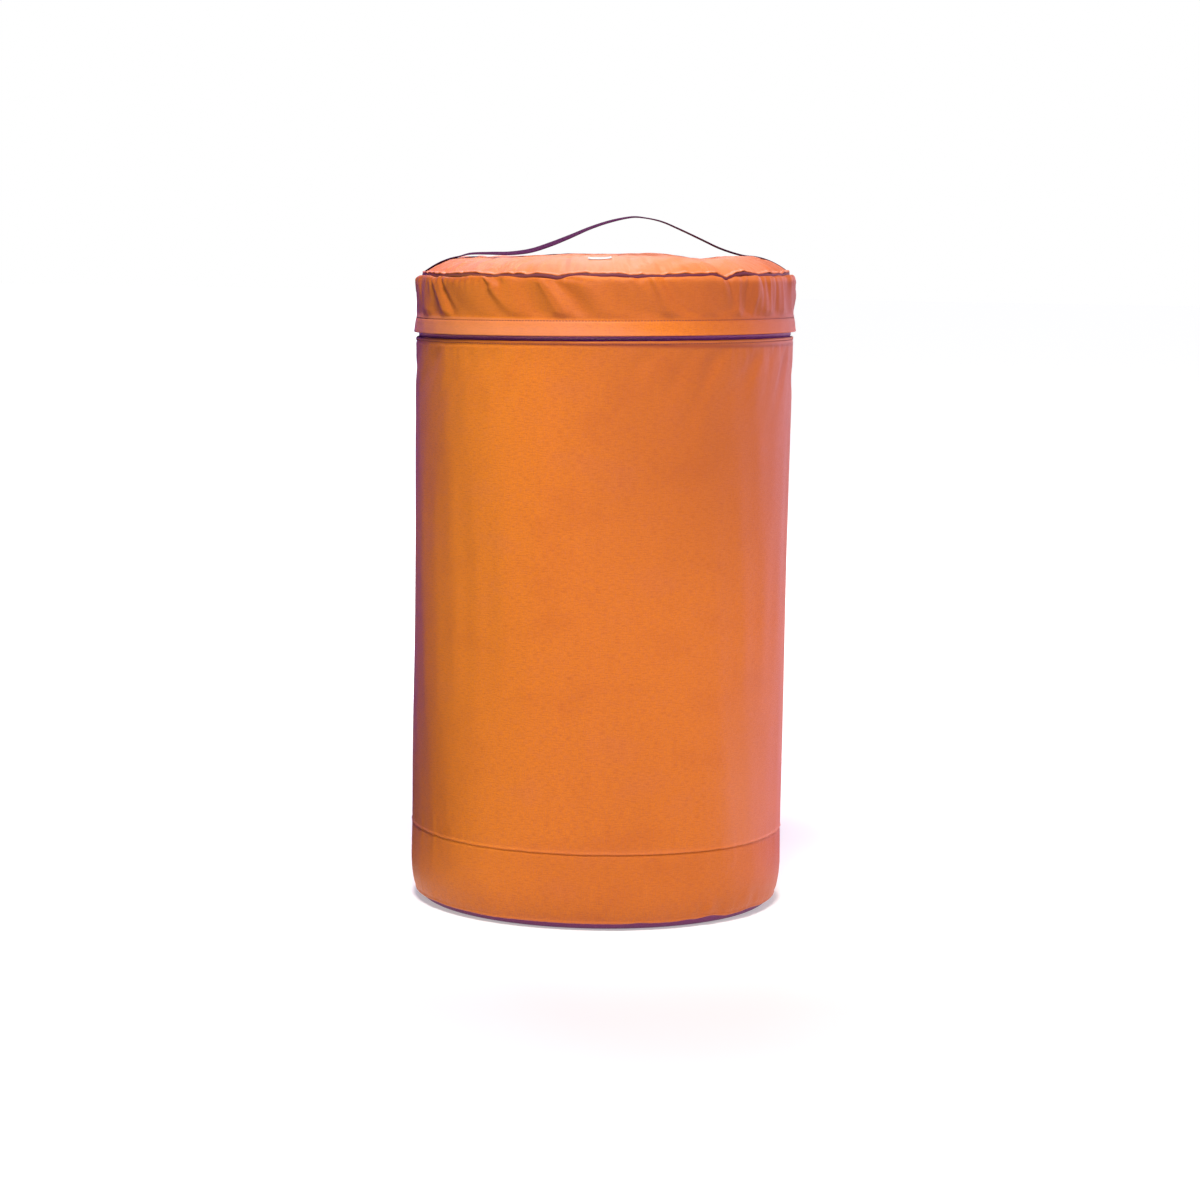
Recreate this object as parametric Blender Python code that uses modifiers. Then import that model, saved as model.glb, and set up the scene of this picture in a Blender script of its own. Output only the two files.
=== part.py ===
"""Tackling bag: a foam-filled contact-training bag that stands on the ground.

A round cover of coated cloth holds a foam core. The lid is sewn to the cover along a short
hinge at the back and closed by a zip round the rest, under a flared storm flap. A webbing
strap arches over the lid. Metres, +Z up, the front of the bag faces -Y, and the origin is
the middle of the base on the ground.
"""
import math

import bmesh
import bpy
from mathutils import Matrix, Vector

# Counts and angles
SEGMENTS = 60
HINGE_HALF_ANGLE = math.radians(18)
BACK_ANGLE = math.radians(90)
STRAP_TWIST = math.radians(6)
SHARP_ANGLE = math.radians(35)
STRAP_STATIONS = 24
STRAP_END_STATIONS = 24
ROUND_SIDES = 12

# Fit between neighbours
GAP = 0.0003
RUN_GAP = 0.0004
OVERRUN = 0.002
WELD = 0.00001
AXIS_MARK = 0.05

# Cover cloth
COVER_THICKNESS = 0.0010
BODY_RADIUS = 0.260
SLEEVE_TAPER = 0.0022
SLEEVE_LENGTH = 0.679
SLEEVE_FOLD = 0.014

# Base band and base panel
BAND_HEIGHT = 0.105
BAND_TUCK = 0.014
BAND_THICKNESS = 0.0013
BAND_ROLL = 0.0085
BAND_HEIGHT_SHARES = (0.94, 0.52, 0.31, 0.20, 0.09)
BAND_INSET_SHARES = (0.0, -0.14, 0.12, 0.42, 1.0)
PANEL_THICKNESS = 0.0015
PANEL_ROLL = 0.0115
PANEL_RIM_SHARE = 0.25
PANEL_ROLL_SHARES = ((0.45, 0.35), (1.0, 0.0))

# Lid
LID_DEPTH = 0.0793
HEM_DEPTH = 0.0195
RIM_INSET = 0.0083
WALL_SHOULDER = 0.0153
WALL_SHOULDER_SHARES = ((0.08, 0.50), (0.27, 0.22), (0.60, 0.05), (1.0, 0.0))
STITCH_FLARE_SHARE = 0.2
FLARE_START = 0.006
LID_SHOULDER_WIDTH = 0.055
LID_SHOULDER_RISE = 0.020
LID_DOME_RISE = 0.006
LID_RING_SHARES = (0.45, 0.78, 0.84, 0.90, 0.95)
LABEL_WIDTH = 0.031
LABEL_DEPTH = 0.010
LABEL_THICKNESS = 0.0006
LABEL_SIDE_SHARE = -0.034
LABEL_FRONT_SHARE = 0.84

# Hinge strip at the back
STRIP_THICKNESS = 0.0009
STRIP_DROP = 0.018
STRIP_REACH_SHARE = 0.8
BACK_SEAM_THICKNESS = 0.0008

# Zip
CHAIN_WIDTH = 0.0060
ROW_THICKNESS = 0.0020
TAPE_THICKNESS = 0.0007
TAPE_SEAT = 0.013
TAPE_SEAT_SHARE = 0.5
TAPE_TURN_SHARE = 0.18
TAPE_ABOVE_STITCH = 0.002
STOP_LENGTH = 0.0020
SLIDER_LENGTH = 0.0125
SLIDER_HEIGHT = 0.0074
SLIDER_PLATE = 0.0010
SLIDER_TAIL_SHARE = 0.90
SLIDER_NOSE_SHARE = 0.70
SLIDER_BEVEL = 0.0002
POST_LENGTH = 0.0034
POST_WIDTH = 0.0022
POST_SETBACK = 0.0010
BAR_RADIUS = 0.0005
LUG_LENGTH = 0.0011
KNUCKLE_RADIUS = 0.0016
KNUCKLE_LENGTH = 0.0062
PULL_THICKNESS = 0.0012
PULL_STANDOFF = 0.0004
PULL_LENGTH = 0.026
PULL_WIDTH = 0.0080
PULL_NECK_SHARE = 0.62
PULL_WINDOW_LENGTH = 0.0090
PULL_WINDOW_WIDTH = 0.0036
PULL_WINDOW_MARGIN = 0.0030

# Strap over the lid: shares of the rim radius along X, of the loop's rise, and of its twist
STRAP_WIDTH = 0.038
STRAP_THICKNESS = 0.0016
LOOP_RISE = 0.0500
LOOP_LEFT_SHARE = -0.27
LOOP_RIGHT_SHARE = 0.56
LOOP_X_SHARES = (-1.0, -0.815, -0.747, -0.636, -0.528, -0.417, -0.31, -0.20, -0.09,
                 0.02, 0.127, 0.183, 0.294, 0.40, 0.513, 0.62, 0.73, 0.787, 1.0)
LOOP_RISE_SHARES = (0.0, 0.0, 0.064, 0.058, 0.042, 0.10, 0.26, 0.473, 0.705,
                    0.886, 0.998, 1.0, 0.896, 0.683, 0.431, 0.194, 0.032, 0.0, 0.0)
LOOP_TWIST_SHARES = (0.0, 0.0, 0.2, 0.4, 0.6, 0.8, 0.9, 0.8, 0.6,
                     0.4, 0.1, 0.0, -0.2, -0.5, -0.7, -0.7, -0.4, 0.0, 0.0)

# Foam core
COLUMN_RADIUS = 0.130
CORE_EASE = 0.0008
CORE_SHOULDER = 0.015
NECK_BELOW_ZIP = 0.016
NECK_ABOVE_ZIP = 0.012
BASE_PAD_THICKNESS = 0.040
TOP_PAD_THICKNESS = 0.050
TOP_PAD_EASE = 0.0014
TOP_PAD_SIDE_SHARE = 0.42
TOP_PAD_RING_SHARES = (0.93, 0.87, 0.78, 0.50)

# Heights, from the ground up
sleeve_top = BAND_HEIGHT + SLEEVE_LENGTH
zip_height = sleeve_top + 2 * GAP + SLIDER_HEIGHT / 2
flap_edge = zip_height + KNUCKLE_RADIUS + GAP
stitch_height = flap_edge + HEM_DEPTH
rim_height = flap_edge + LID_DEPTH
half_chain = CHAIN_WIDTH / 2

# Radii, from the sleeve's outside
foot_radius = BODY_RADIUS - SLEEVE_TAPER
rim_radius = BODY_RADIUS - RIM_INSET
hem_thickness = 2 * COVER_THICKNESS
flap_flare = STRIP_THICKNESS + hem_thickness + 2 * GAP
flap_radius = BODY_RADIUS + flap_flare
pull_inner_radius = BODY_RADIUS + PULL_STANDOFF
pivot_radius = pull_inner_radius + PULL_THICKNESS - KNUCKLE_RADIUS
slider_face = pivot_radius - KNUCKLE_RADIUS - GAP
channel_outer = slider_face - SLIDER_PLATE
row_outer = channel_outer - RUN_GAP
chain_radius = row_outer - ROW_THICKNESS / 2
row_inner = row_outer - ROW_THICKNESS
facet_share = math.cos(math.pi / SEGMENTS)
channel_inner = row_inner * facet_share - GAP
slider_back = channel_inner - SLIDER_PLATE
neck_radius = slider_back - 2 * GAP
slot_outer = chain_radius + TAPE_THICKNESS / 2 + GAP
slot_inner = (chain_radius - TAPE_THICKNESS / 2) * facet_share - GAP

# Angles round the bag, from +X
zip_start = BACK_ANGLE + HINGE_HALF_ANGLE
zip_end = BACK_ANGLE - HINGE_HALF_ANGLE + 2 * math.pi
slider_angle = zip_start + (STOP_LENGTH + GAP + SLIDER_LENGTH / 2) / chain_radius
row_start = slider_angle + GAP / chain_radius
row_end = zip_end - (STOP_LENGTH + GAP) / chain_radius


def share_at(position, positions, values):
    """Smooth value at a position, from a table of positions and values."""
    last = len(positions) - 1
    for i in range(last):
        if position <= positions[i + 1] or i == last - 1:
            break
    before = max(i - 1, 0)
    after = min(i + 2, last)
    span = positions[i + 1] - positions[i]
    t = min(max((position - positions[i]) / span, 0), 1)
    slope_in = (values[i + 1] - values[before]) / (positions[i + 1] - positions[before]) * span
    slope_out = (values[after] - values[i]) / (positions[after] - positions[i]) * span
    rise = values[i + 1] - values[i]
    curve = (3 * rise - 2 * slope_in - slope_out) + (slope_in + slope_out - 2 * rise) * t
    return values[i] + t * (slope_in + t * curve)


def sleeve_radius(z):
    """Outside of the sleeve, which is slightly wider at the top."""
    return BODY_RADIUS - SLEEVE_TAPER * (sleeve_top - z) / SLEEVE_LENGTH


def lid_surface(r):
    """Height of the lid's top at a radius: a shallow dome with rolled shoulders."""
    roll = max(0, r - rim_radius + LID_SHOULDER_WIDTH) / LID_SHOULDER_WIDTH
    dome = LID_DOME_RISE * (1 - (r / rim_radius) ** 2)
    return rim_height + LID_SHOULDER_RISE * (1 - roll ** 2) + dome


def flap_inside(z):
    """Inside of the flared hem at a height between its edge and its stitch line."""
    share = (z - flap_edge) / HEM_DEPTH
    flare = flap_flare * (1 - share * (1 - STITCH_FLARE_SHARE))
    return BODY_RADIUS + flare - hem_thickness


def swing_radius(z):
    """Widest core that the lid's front edge clears as it swings up about the back."""
    lift = max(0, z - flap_edge)
    return neck_radius - lift ** 2 / (4 * flap_radius)


def offset_line(points, distance):
    """The same line moved sideways, to the inner side of a line that runs down outside."""
    moved = []
    for i, point in enumerate(points):
        before = Vector(points[max(i - 1, 0)])
        after = Vector(points[min(i + 1, len(points) - 1)])
        here = Vector(point)
        first = (here - before) if i else (after - here)
        second = (after - here) if i < len(points) - 1 else (here - before)
        sides = [Vector((d.y, -d.x)).normalized() for d in (first, second)]
        middle = (sides[0] + sides[1]).normalized()
        moved.append(here + middle * (distance / middle.dot(sides[0])))
    return [(max(p.x, 0), p.y) for p in moved]


def walled(outer, thickness):
    """Closed outline of a wall from its outer line."""
    return list(outer) + list(reversed(offset_line(outer, thickness)))


def material(name, colour, roughness, metallic=0.0):
    made = bpy.data.materials.new(name)
    made.use_nodes = True
    shader = made.node_tree.nodes["Principled BSDF"]
    shader.inputs["Base Color"].default_value = (*colour, 1)
    shader.inputs["Roughness"].default_value = roughness
    shader.inputs["Metallic"].default_value = metallic
    made.diffuse_color = (*colour, 1)
    return made


def new_object(name, mesh, collection, parent=None):
    made = bpy.data.objects.new(name, mesh)
    collection.objects.link(made)
    if parent:
        made.parent = parent
    return made


def mesh_from(bm, name):
    mesh = bpy.data.meshes.new(name)
    bm.to_mesh(mesh)
    bm.free()
    return mesh


def profile_mesh(name, points, closed, angle=0.0):
    """A profile of radius and height points, as edges in the plane at an angle."""
    bm = bmesh.new()
    turn = Matrix.Rotation(angle, 3, "Z")
    verts = [bm.verts.new(turn @ Vector((r, 0, z))) for r, z in points]
    for a, b in zip(verts, verts[1:]):
        bm.edges.new((a, b))
    if closed:
        bm.edges.new((verts[-1], verts[0]))
    return mesh_from(bm, name)


def add_screw(obj, angle, steps, whole):
    screw = obj.modifiers.new("turn", "SCREW")
    screw.axis = "Z"
    screw.angle = angle
    screw.steps = steps
    screw.render_steps = steps
    screw.use_merge_vertices = whole
    screw.merge_threshold = WELD
    screw.use_smooth_shade = True


def add_solidify(obj, thickness):
    solid = obj.modifiers.new("thickness", "SOLIDIFY")
    solid.thickness = thickness
    solid.offset = 0
    solid.use_even_offset = True


def add_boolean(obj, other, operation):
    cut = obj.modifiers.new(other.name, "BOOLEAN")
    cut.operation = operation
    cut.solver = "EXACT"
    cut.object = other


def turned(name, points, collection, parent, closed):
    """A full turn of a profile whose outer side runs from top to bottom."""
    made = new_object(name, profile_mesh(name, points, closed), collection, parent)
    add_screw(made, 2 * math.pi, SEGMENTS, True)
    return made


def swept_strip(name, points, thickness, start, end, collection, parent):
    """Part of a turn of an open line, thickened to a strip."""
    made = new_object(name, profile_mesh(name, points, False, start), collection, parent)
    steps = max(1, round((end - start) / (2 * math.pi) * SEGMENTS))
    add_screw(made, end - start, steps, False)
    add_solidify(made, thickness)
    return made


def box(name, size, centre, collection, parent, bevel=0.0):
    bm = bmesh.new()
    bmesh.ops.create_cube(bm, size=1)
    bmesh.ops.transform(bm, matrix=Matrix.Diagonal((*size, 1)), verts=bm.verts)
    bmesh.ops.translate(bm, vec=Vector(centre), verts=bm.verts)
    if bevel:
        bmesh.ops.bevel(bm, geom=bm.edges, offset=bevel, segments=1, affect="EDGES")
    return new_object(name, mesh_from(bm, name), collection, parent)


def rod(name, radius, length, centre, collection, parent):
    """A round bar along the local Y axis."""
    bm = bmesh.new()
    spin = Matrix.Translation(centre) @ Matrix.Rotation(math.pi / 2, 4, "X")
    bmesh.ops.create_cone(bm, cap_ends=True, segments=ROUND_SIDES, radius1=radius,
                          radius2=radius, depth=length, matrix=spin)
    return new_object(name, mesh_from(bm, name), collection, parent)


def plate(name, outlines, thickness, centre, collection, parent):
    """A flat outline in the local YZ plane, extruded along X; later outlines are holes."""
    curve = bpy.data.curves.new(name, "CURVE")
    curve.dimensions = "2D"
    curve.fill_mode = "BOTH"
    curve.extrude = thickness / 2
    for outline in outlines:
        spline = curve.splines.new("POLY")
        spline.points.add(len(outline) - 1)
        for point, (y, z) in zip(spline.points, outline):
            point.co = (y, z, 0, 1)
        spline.use_cyclic_u = True
    shape = bpy.data.objects.new(name, curve)
    mesh = bpy.data.meshes.new_from_object(shape.evaluated_get(bpy.context.evaluated_depsgraph_get()))
    bpy.data.objects.remove(shape)
    bpy.data.curves.remove(curve)
    stand = Matrix.Translation(centre) @ Matrix(((0, 0, 1, 0), (1, 0, 0, 0), (0, 1, 0, 0), (0, 0, 0, 1)))
    bm = bmesh.new()
    bm.from_mesh(mesh)
    bpy.data.meshes.remove(mesh)
    bmesh.ops.remove_doubles(bm, verts=bm.verts, dist=WELD)
    bmesh.ops.transform(bm, matrix=stand, verts=bm.verts)
    bmesh.ops.recalc_face_normals(bm, faces=bm.faces)
    return new_object(name, mesh_from(bm, name), collection, parent)


def ribbon(name, x_start, x_end, stations, collection, parent, origin):
    """Webbing whose underside follows the strap's path; its ends are square to X."""
    bm = bmesh.new()
    bmesh.ops.create_grid(bm, x_segments=stations, y_segments=2, size=1)
    middle = (x_start + x_end) / 2
    reach = (x_end - x_start) / 2
    for vert in bm.verts:
        x = middle + reach * vert.co.x
        y = vert.co.y * STRAP_WIDTH / 2
        vert.co = Vector((x, y, strap_underside(x, y))) - origin
    grown = bmesh.ops.extrude_face_region(bm, geom=list(bm.faces))
    lifted = [item for item in grown["geom"] if isinstance(item, bmesh.types.BMVert)]
    bmesh.ops.translate(bm, vec=Vector((0, 0, STRAP_THICKNESS)), verts=lifted)
    bmesh.ops.recalc_face_normals(bm, faces=bm.faces)
    return new_object(name, mesh_from(bm, name), collection, parent)


def strap_underside(x, y):
    share = x / rim_radius
    rise = LOOP_RISE * share_at(share, LOOP_X_SHARES, LOOP_RISE_SHARES)
    twist = STRAP_TWIST * share_at(share, LOOP_X_SHARES, LOOP_TWIST_SHARES)
    return lid_surface(abs(x)) + GAP + max(rise, 0) + y * math.tan(twist)


def empty_at(name, location, collection, parent=None, turn=0.0):
    made = bpy.data.objects.new(name, None)
    made.empty_display_size = AXIS_MARK
    collection.objects.link(made)
    made.parent = parent
    made.location = location
    made.rotation_euler.z = turn
    return made


def band_outline():
    tucked = foot_radius - COVER_THICKNESS - GAP
    outer = [(tucked, BAND_HEIGHT + BAND_TUCK), (tucked, BAND_HEIGHT - BAND_THICKNESS)]
    for height, inset in zip(BAND_HEIGHT_SHARES, BAND_INSET_SHARES):
        outer.append((foot_radius - inset * BAND_ROLL, height * BAND_HEIGHT))
    return outer


def panel_outline():
    """Outer line of the base panel: a rim inside the band, then a rolled flat base."""
    inside = offset_line(band_outline(), BAND_THICKNESS + GAP)
    edge_radius, edge_height = inside[-1]
    rim_top = BAND_HEIGHT * PANEL_RIM_SHARE
    rim_outer = radius_on(inside, rim_top)
    line = [(rim_outer, rim_top), (edge_radius, edge_height)]
    for out, up in PANEL_ROLL_SHARES:
        line.append((edge_radius - out * PANEL_ROLL, up * edge_height))
    return line


def radius_on(line, height):
    """Radius of a falling line at a height."""
    for (r1, z1), (r2, z2) in zip(line, line[1:]):
        if z1 >= height >= z2 and z1 > z2:
            return r2 + (r1 - r2) * (height - z2) / (z1 - z2)
    return line[-1][0]


def make_cover(bag, cloth, base_cloth):
    fold = sleeve_top - SLEEVE_FOLD
    outline = [
        (BODY_RADIUS, sleeve_top),
        (foot_radius, BAND_HEIGHT),
        (foot_radius - COVER_THICKNESS, BAND_HEIGHT),
        (sleeve_radius(fold) - COVER_THICKNESS, fold),
        (sleeve_radius(fold) - hem_thickness, fold),
        (BODY_RADIUS - hem_thickness, sleeve_top),
    ]
    turned("sleeve", outline, bag, None, True).data.materials.append(cloth)
    band = turned("base_band", walled(band_outline(), BAND_THICKNESS), bag, None, True)
    band.data.materials.append(cloth)
    outer = panel_outline() + [(0, 0)]
    inner = offset_line(panel_outline(), PANEL_THICKNESS)
    inner[-1] = (inner[-1][0], PANEL_THICKNESS)
    line = [(0, PANEL_THICKNESS)] + list(reversed(inner)) + outer
    turned("base_panel", line, bag, None, False).data.materials.append(base_cloth)
    one_facet = 2 * math.pi / SEGMENTS
    out = GAP + BACK_SEAM_THICKNESS / 2
    top = sleeve_top - STRIP_DROP - GAP
    seam = [(sleeve_radius(top) + out, top), (foot_radius + out, BAND_HEIGHT)]
    lap = swept_strip("sleeve_back_seam", seam, BACK_SEAM_THICKNESS, BACK_ANGLE,
                      BACK_ANGLE + one_facet, bag, None)
    lap.data.materials.append(cloth)


def make_hinge_strip(bag, cloth):
    low = BODY_RADIUS + GAP + STRIP_THICKNESS / 2
    top = flap_edge + STRIP_REACH_SHARE * HEM_DEPTH
    line = [
        (flap_inside(top) - GAP - STRIP_THICKNESS / 2, top),
        (low, flap_edge - GAP),
        (low, sleeve_top - STRIP_DROP),
    ]
    strip = swept_strip("hinge_strip", line, STRIP_THICKNESS, BACK_ANGLE - HINGE_HALF_ANGLE,
                        BACK_ANGLE + HINGE_HALF_ANGLE, bag, None)
    strip.data.materials.append(cloth)


def make_core(bag, firm_foam, soft_foam):
    pad_top = PANEL_THICKNESS + GAP + BASE_PAD_THICKNESS
    core_low = pad_top + GAP
    core_high = lid_surface(0) - COVER_THICKNESS - TOP_PAD_EASE - TOP_PAD_THICKNESS
    band_inner = offset_line(band_outline(), BAND_THICKNESS + GAP)
    foot = band_inner[0][0] - CORE_EASE
    neck = sleeve_radius(sleeve_top - SLEEVE_FOLD) - hem_thickness - 2 * GAP - TAPE_THICKNESS
    shoulder = zip_height - NECK_BELOW_ZIP
    column = [(0, core_high), (COLUMN_RADIUS, core_high), (COLUMN_RADIUS, core_low), (0, core_low)]
    turned("core_column", column, bag, None, False).data.materials.append(firm_foam)
    bore = COLUMN_RADIUS + GAP
    jacket = [
        (bore, core_high),
        (swing_radius(core_high), core_high),
        (swing_radius((core_high + zip_height) / 2), (core_high + zip_height) / 2),
        (neck_radius, zip_height + NECK_ABOVE_ZIP),
        (neck_radius, shoulder),
        (neck, shoulder - CORE_SHOULDER),
        (foot, BAND_HEIGHT + BAND_TUCK),
        (foot, core_low),
        (bore, core_low),
    ]
    turned("core_jacket", jacket, bag, None, True).data.materials.append(soft_foam)
    inside = offset_line(panel_outline(), PANEL_THICKNESS + GAP)
    pad = [(0, pad_top), (foot, pad_top)]
    pad += [(min(r - GAP, foot), z) for r, z in inside[:-1]]
    pad += [(inside[-1][0] - GAP, PANEL_THICKNESS + GAP), (0, PANEL_THICKNESS + GAP)]
    turned("core_base_pad", pad, bag, None, False).data.materials.append(soft_foam)
    low = core_high + GAP
    side = low + (lid_surface(rim_radius) - low) * TOP_PAD_SIDE_SHARE
    drop = COVER_THICKNESS + TOP_PAD_EASE
    crown = [(share * rim_radius, lid_surface(share * rim_radius) - drop)
             for share in reversed(TOP_PAD_RING_SHARES)]
    cap = [(0, lid_surface(0) - drop)] + crown
    cap += [(swing_radius(side), side), (swing_radius(low), low), (0, low)]
    turned("core_top_pad", cap, bag, None, False).data.materials.append(soft_foam)


def make_lid(bag, hinge, cloth, label_cloth):
    rings = [share * rim_radius for share in LID_RING_SHARES] + [rim_radius]
    outer = [(r, lid_surface(r)) for r in rings]
    inner = offset_line([(0, lid_surface(0))] + outer, COVER_THICKNESS)
    line = [(0, lid_surface(0))] + outer + list(reversed(inner))
    line[-1] = (0, lid_surface(0) - COVER_THICKNESS)
    turned("lid_top_panel", line, bag, hinge, False).data.materials.append(cloth)
    wall = [(rim_radius + GAP, rim_height - GAP)]
    for down, inset in WALL_SHOULDER_SHARES:
        wall.append((BODY_RADIUS - inset * RIM_INSET, rim_height - down * WALL_SHOULDER))
    wall.append((BODY_RADIUS, stitch_height + FLARE_START))
    stitch_radius = BODY_RADIUS + flap_flare * STITCH_FLARE_SHARE
    hem = [(stitch_radius, stitch_height), (flap_radius, flap_edge)]
    hem += [(flap_inside(flap_edge), flap_edge), (flap_inside(stitch_height), stitch_height)]
    inner = offset_line(wall, COVER_THICKNESS)
    inner[-1] = (flap_inside(stitch_height) + COVER_THICKNESS / 2, stitch_height + COVER_THICKNESS)
    outline = wall + hem + list(reversed(inner))
    turned("lid_wall", outline, bag, hinge, True).data.materials.append(cloth)
    front = LABEL_FRONT_SHARE * rim_radius
    fall = (lid_surface(front + LABEL_DEPTH / 2) - lid_surface(front - LABEL_DEPTH / 2)) / LABEL_DEPTH
    label = box("lid_label", (LABEL_WIDTH, LABEL_DEPTH, LABEL_THICKNESS), (0, 0, 0), bag, hinge)
    lift = 2 * GAP + LABEL_THICKNESS / 2
    label.location = (LABEL_SIDE_SHARE * rim_radius, -front, lid_surface(front) + lift)
    label.rotation_euler.x = -math.atan(fall)
    label.data.materials.append(label_cloth)


def make_strap(bag, hinge, webbing):
    left = LOOP_LEFT_SHARE * rim_radius
    right = LOOP_RIGHT_SHARE * rim_radius
    axis = Vector((0, 0, (strap_underside(left, 0) + strap_underside(right, 0)) / 2))
    swing = empty_at("handle_axis", axis, bag, hinge)
    ends = (("strap_end_left", -rim_radius, left - GAP), ("strap_end_right", right + GAP, rim_radius))
    for name, start, end in ends:
        piece = ribbon(name, start, end, STRAP_END_STATIONS, bag, hinge, Vector((0, 0, 0)))
        piece.data.materials.append(webbing)
    loop = ribbon("handle_strap", left, right, STRAP_STATIONS, bag, swing, axis)
    loop.data.materials.append(webbing)


def make_chain(bag, hinge, tape_cloth, coil):
    row_low = zip_height + GAP / 2
    row_high = zip_height + half_chain
    lower_line = [(chain_radius, 2 * zip_height - row_low), (chain_radius, 2 * zip_height - row_high)]
    upper_line = [(chain_radius, row_high), (chain_radius, row_low)]
    rows = (("zip_row_lower", lower_line, None), ("zip_row_upper", upper_line, hinge))
    for name, line, parent in rows:
        row = swept_strip(name, line, ROW_THICKNESS, row_start, row_end, bag, parent)
        row.data.materials.append(coil)
    half_tape = TAPE_THICKNESS / 2
    low_end = sleeve_top - TAPE_SEAT
    bend = sleeve_top - TAPE_SEAT * TAPE_SEAT_SHARE
    lower = [
        (chain_radius, row_edge(-1)),
        (chain_radius, sleeve_top),
        (sleeve_radius(low_end) - hem_thickness - GAP - half_tape, bend),
        (sleeve_radius(low_end) - hem_thickness - GAP - half_tape, low_end),
    ]
    seat = flap_inside(stitch_height) - GAP - half_tape
    upper = [
        (seat, stitch_height + TAPE_ABOVE_STITCH),
        (seat, stitch_height - HEM_DEPTH * TAPE_TURN_SHARE),
        (chain_radius, zip_height + SLIDER_HEIGHT / 2 + GAP),
        (chain_radius, row_edge(1)),
    ]
    tapes = (("zip_tape_lower", lower, None), ("zip_tape_upper", upper, hinge))
    for name, line, parent in tapes:
        tape = swept_strip(name, line, TAPE_THICKNESS, zip_start, zip_end, bag, parent)
        tape.data.materials.append(tape_cloth)


def row_edge(side):
    """Height of a tape's inner edge, above or below the chain."""
    return zip_height + side * (half_chain + GAP)


def make_stops(bag, hinge, plastic):
    """End stops: one on each row where the zip closes, and one box where it starts."""
    half = (half_chain - GAP) / 2
    middle = GAP + half
    start = zip_start + STOP_LENGTH / 2 / chain_radius
    end = zip_end - STOP_LENGTH / 2 / chain_radius
    size = (ROW_THICKNESS, STOP_LENGTH, 2 * half)
    places = (
        ("zip_top_stop_lower", size, start, zip_height - middle, None),
        ("zip_top_stop_upper", size, start, zip_height + middle, hinge),
        ("zip_bottom_stop", (ROW_THICKNESS, STOP_LENGTH, CHAIN_WIDTH), end, zip_height, None),
    )
    for name, extent, angle, height, parent in places:
        stop = box(name, extent, (0, 0, 0), bag, parent, SLIDER_BEVEL)
        stop.location = (chain_radius * math.cos(angle), chain_radius * math.sin(angle), height)
        stop.rotation_euler.z = angle
        stop.data.materials.append(plastic)


def slider_outline():
    """Teardrop seen from outside: wide where the rows part, narrow where they are closed."""
    half = SLIDER_LENGTH / 2
    high = SLIDER_HEIGHT / 2
    upper = [
        (-half, high * SLIDER_NOSE_SHARE),
        (-half * SLIDER_NOSE_SHARE, high),
        (half * SLIDER_NOSE_SHARE, high * SLIDER_TAIL_SHARE),
        (half, high * SLIDER_NOSE_SHARE),
    ]
    return upper + [(y, -z) for y, z in reversed(upper)]


def make_slider(bag, tools, carriage, metal):
    """Body on the zip's own axis: local X is outwards and local Y runs along the chain."""
    middle = (slider_face + slider_back) / 2
    body = plate("zip_slider", [slider_outline()], slider_face - slider_back,
                 Vector((middle, 0, zip_height)), bag, carriage)
    run = SLIDER_LENGTH + OVERRUN
    channel = (channel_outer - channel_inner, run, CHAIN_WIDTH + 2 * GAP)
    channel_middle = ((channel_outer + channel_inner) / 2, 0, zip_height)
    slot = (slot_outer - slot_inner, run, SLIDER_HEIGHT + OVERRUN)
    slot_middle = ((slot_outer + slot_inner) / 2, 0, zip_height)
    add_boolean(body, box("channel_cut", channel, channel_middle, tools, carriage), "DIFFERENCE")
    add_boolean(body, box("slot_cut", slot, slot_middle, tools, carriage), "DIFFERENCE")
    nose = -SLIDER_LENGTH / 2 + POST_SETBACK
    wedge = [(nose, 0), (nose + POST_LENGTH / 3, -POST_WIDTH / 2), (nose + POST_LENGTH, 0),
             (nose + POST_LENGTH / 3, POST_WIDTH / 2)]
    post_depth = channel_outer - channel_inner + SLIDER_PLATE
    post = plate("post_join", [wedge], post_depth, Vector(channel_middle), tools, carriage)
    add_boolean(body, post, "UNION")
    lug_height = pivot_radius + BAR_RADIUS - slider_face + SLIDER_PLATE / 2
    lug_middle = slider_face - SLIDER_PLATE / 2 + lug_height / 2
    reach = KNUCKLE_LENGTH / 2 + GAP + LUG_LENGTH / 2
    for side, name in ((-1, "rear_lug_join"), (1, "front_lug_join")):
        lug = box(name, (lug_height, LUG_LENGTH, 2 * KNUCKLE_RADIUS - 2 * GAP),
                  (lug_middle, side * reach, zip_height), tools, carriage)
        add_boolean(body, lug, "UNION")
    bar = rod("bar_join", BAR_RADIUS, 2 * reach, Vector((pivot_radius, 0, zip_height)), tools, carriage)
    add_boolean(body, bar, "UNION")
    body.data.materials.append(metal)


def pull_outline():
    """Tab that hangs from the knuckle: a neck, a wider grip and a rounded end."""
    neck = KNUCKLE_LENGTH / 2 * PULL_NECK_SHARE
    half = PULL_WIDTH / 2
    side = [(neck, 0), (neck, -PULL_LENGTH * (1 - PULL_NECK_SHARE) / 2), (half, -PULL_LENGTH / 2)]
    centre = -PULL_LENGTH + half
    steps = ROUND_SIDES // 2
    for i in range(steps):
        turn = math.pi / 2 * i / steps
        side.append((half * math.cos(turn), centre - half * math.sin(turn)))
    return side + [(0, -PULL_LENGTH)] + [(-y, z) for y, z in reversed(side)]


def window_outline():
    half = PULL_WINDOW_WIDTH / 2
    low = -PULL_LENGTH + PULL_WINDOW_MARGIN
    high = low + PULL_WINDOW_LENGTH
    return [(-half, low + half), (0, low), (half, low + half), (half, high - half), (0, high),
            (-half, high - half)]


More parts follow.
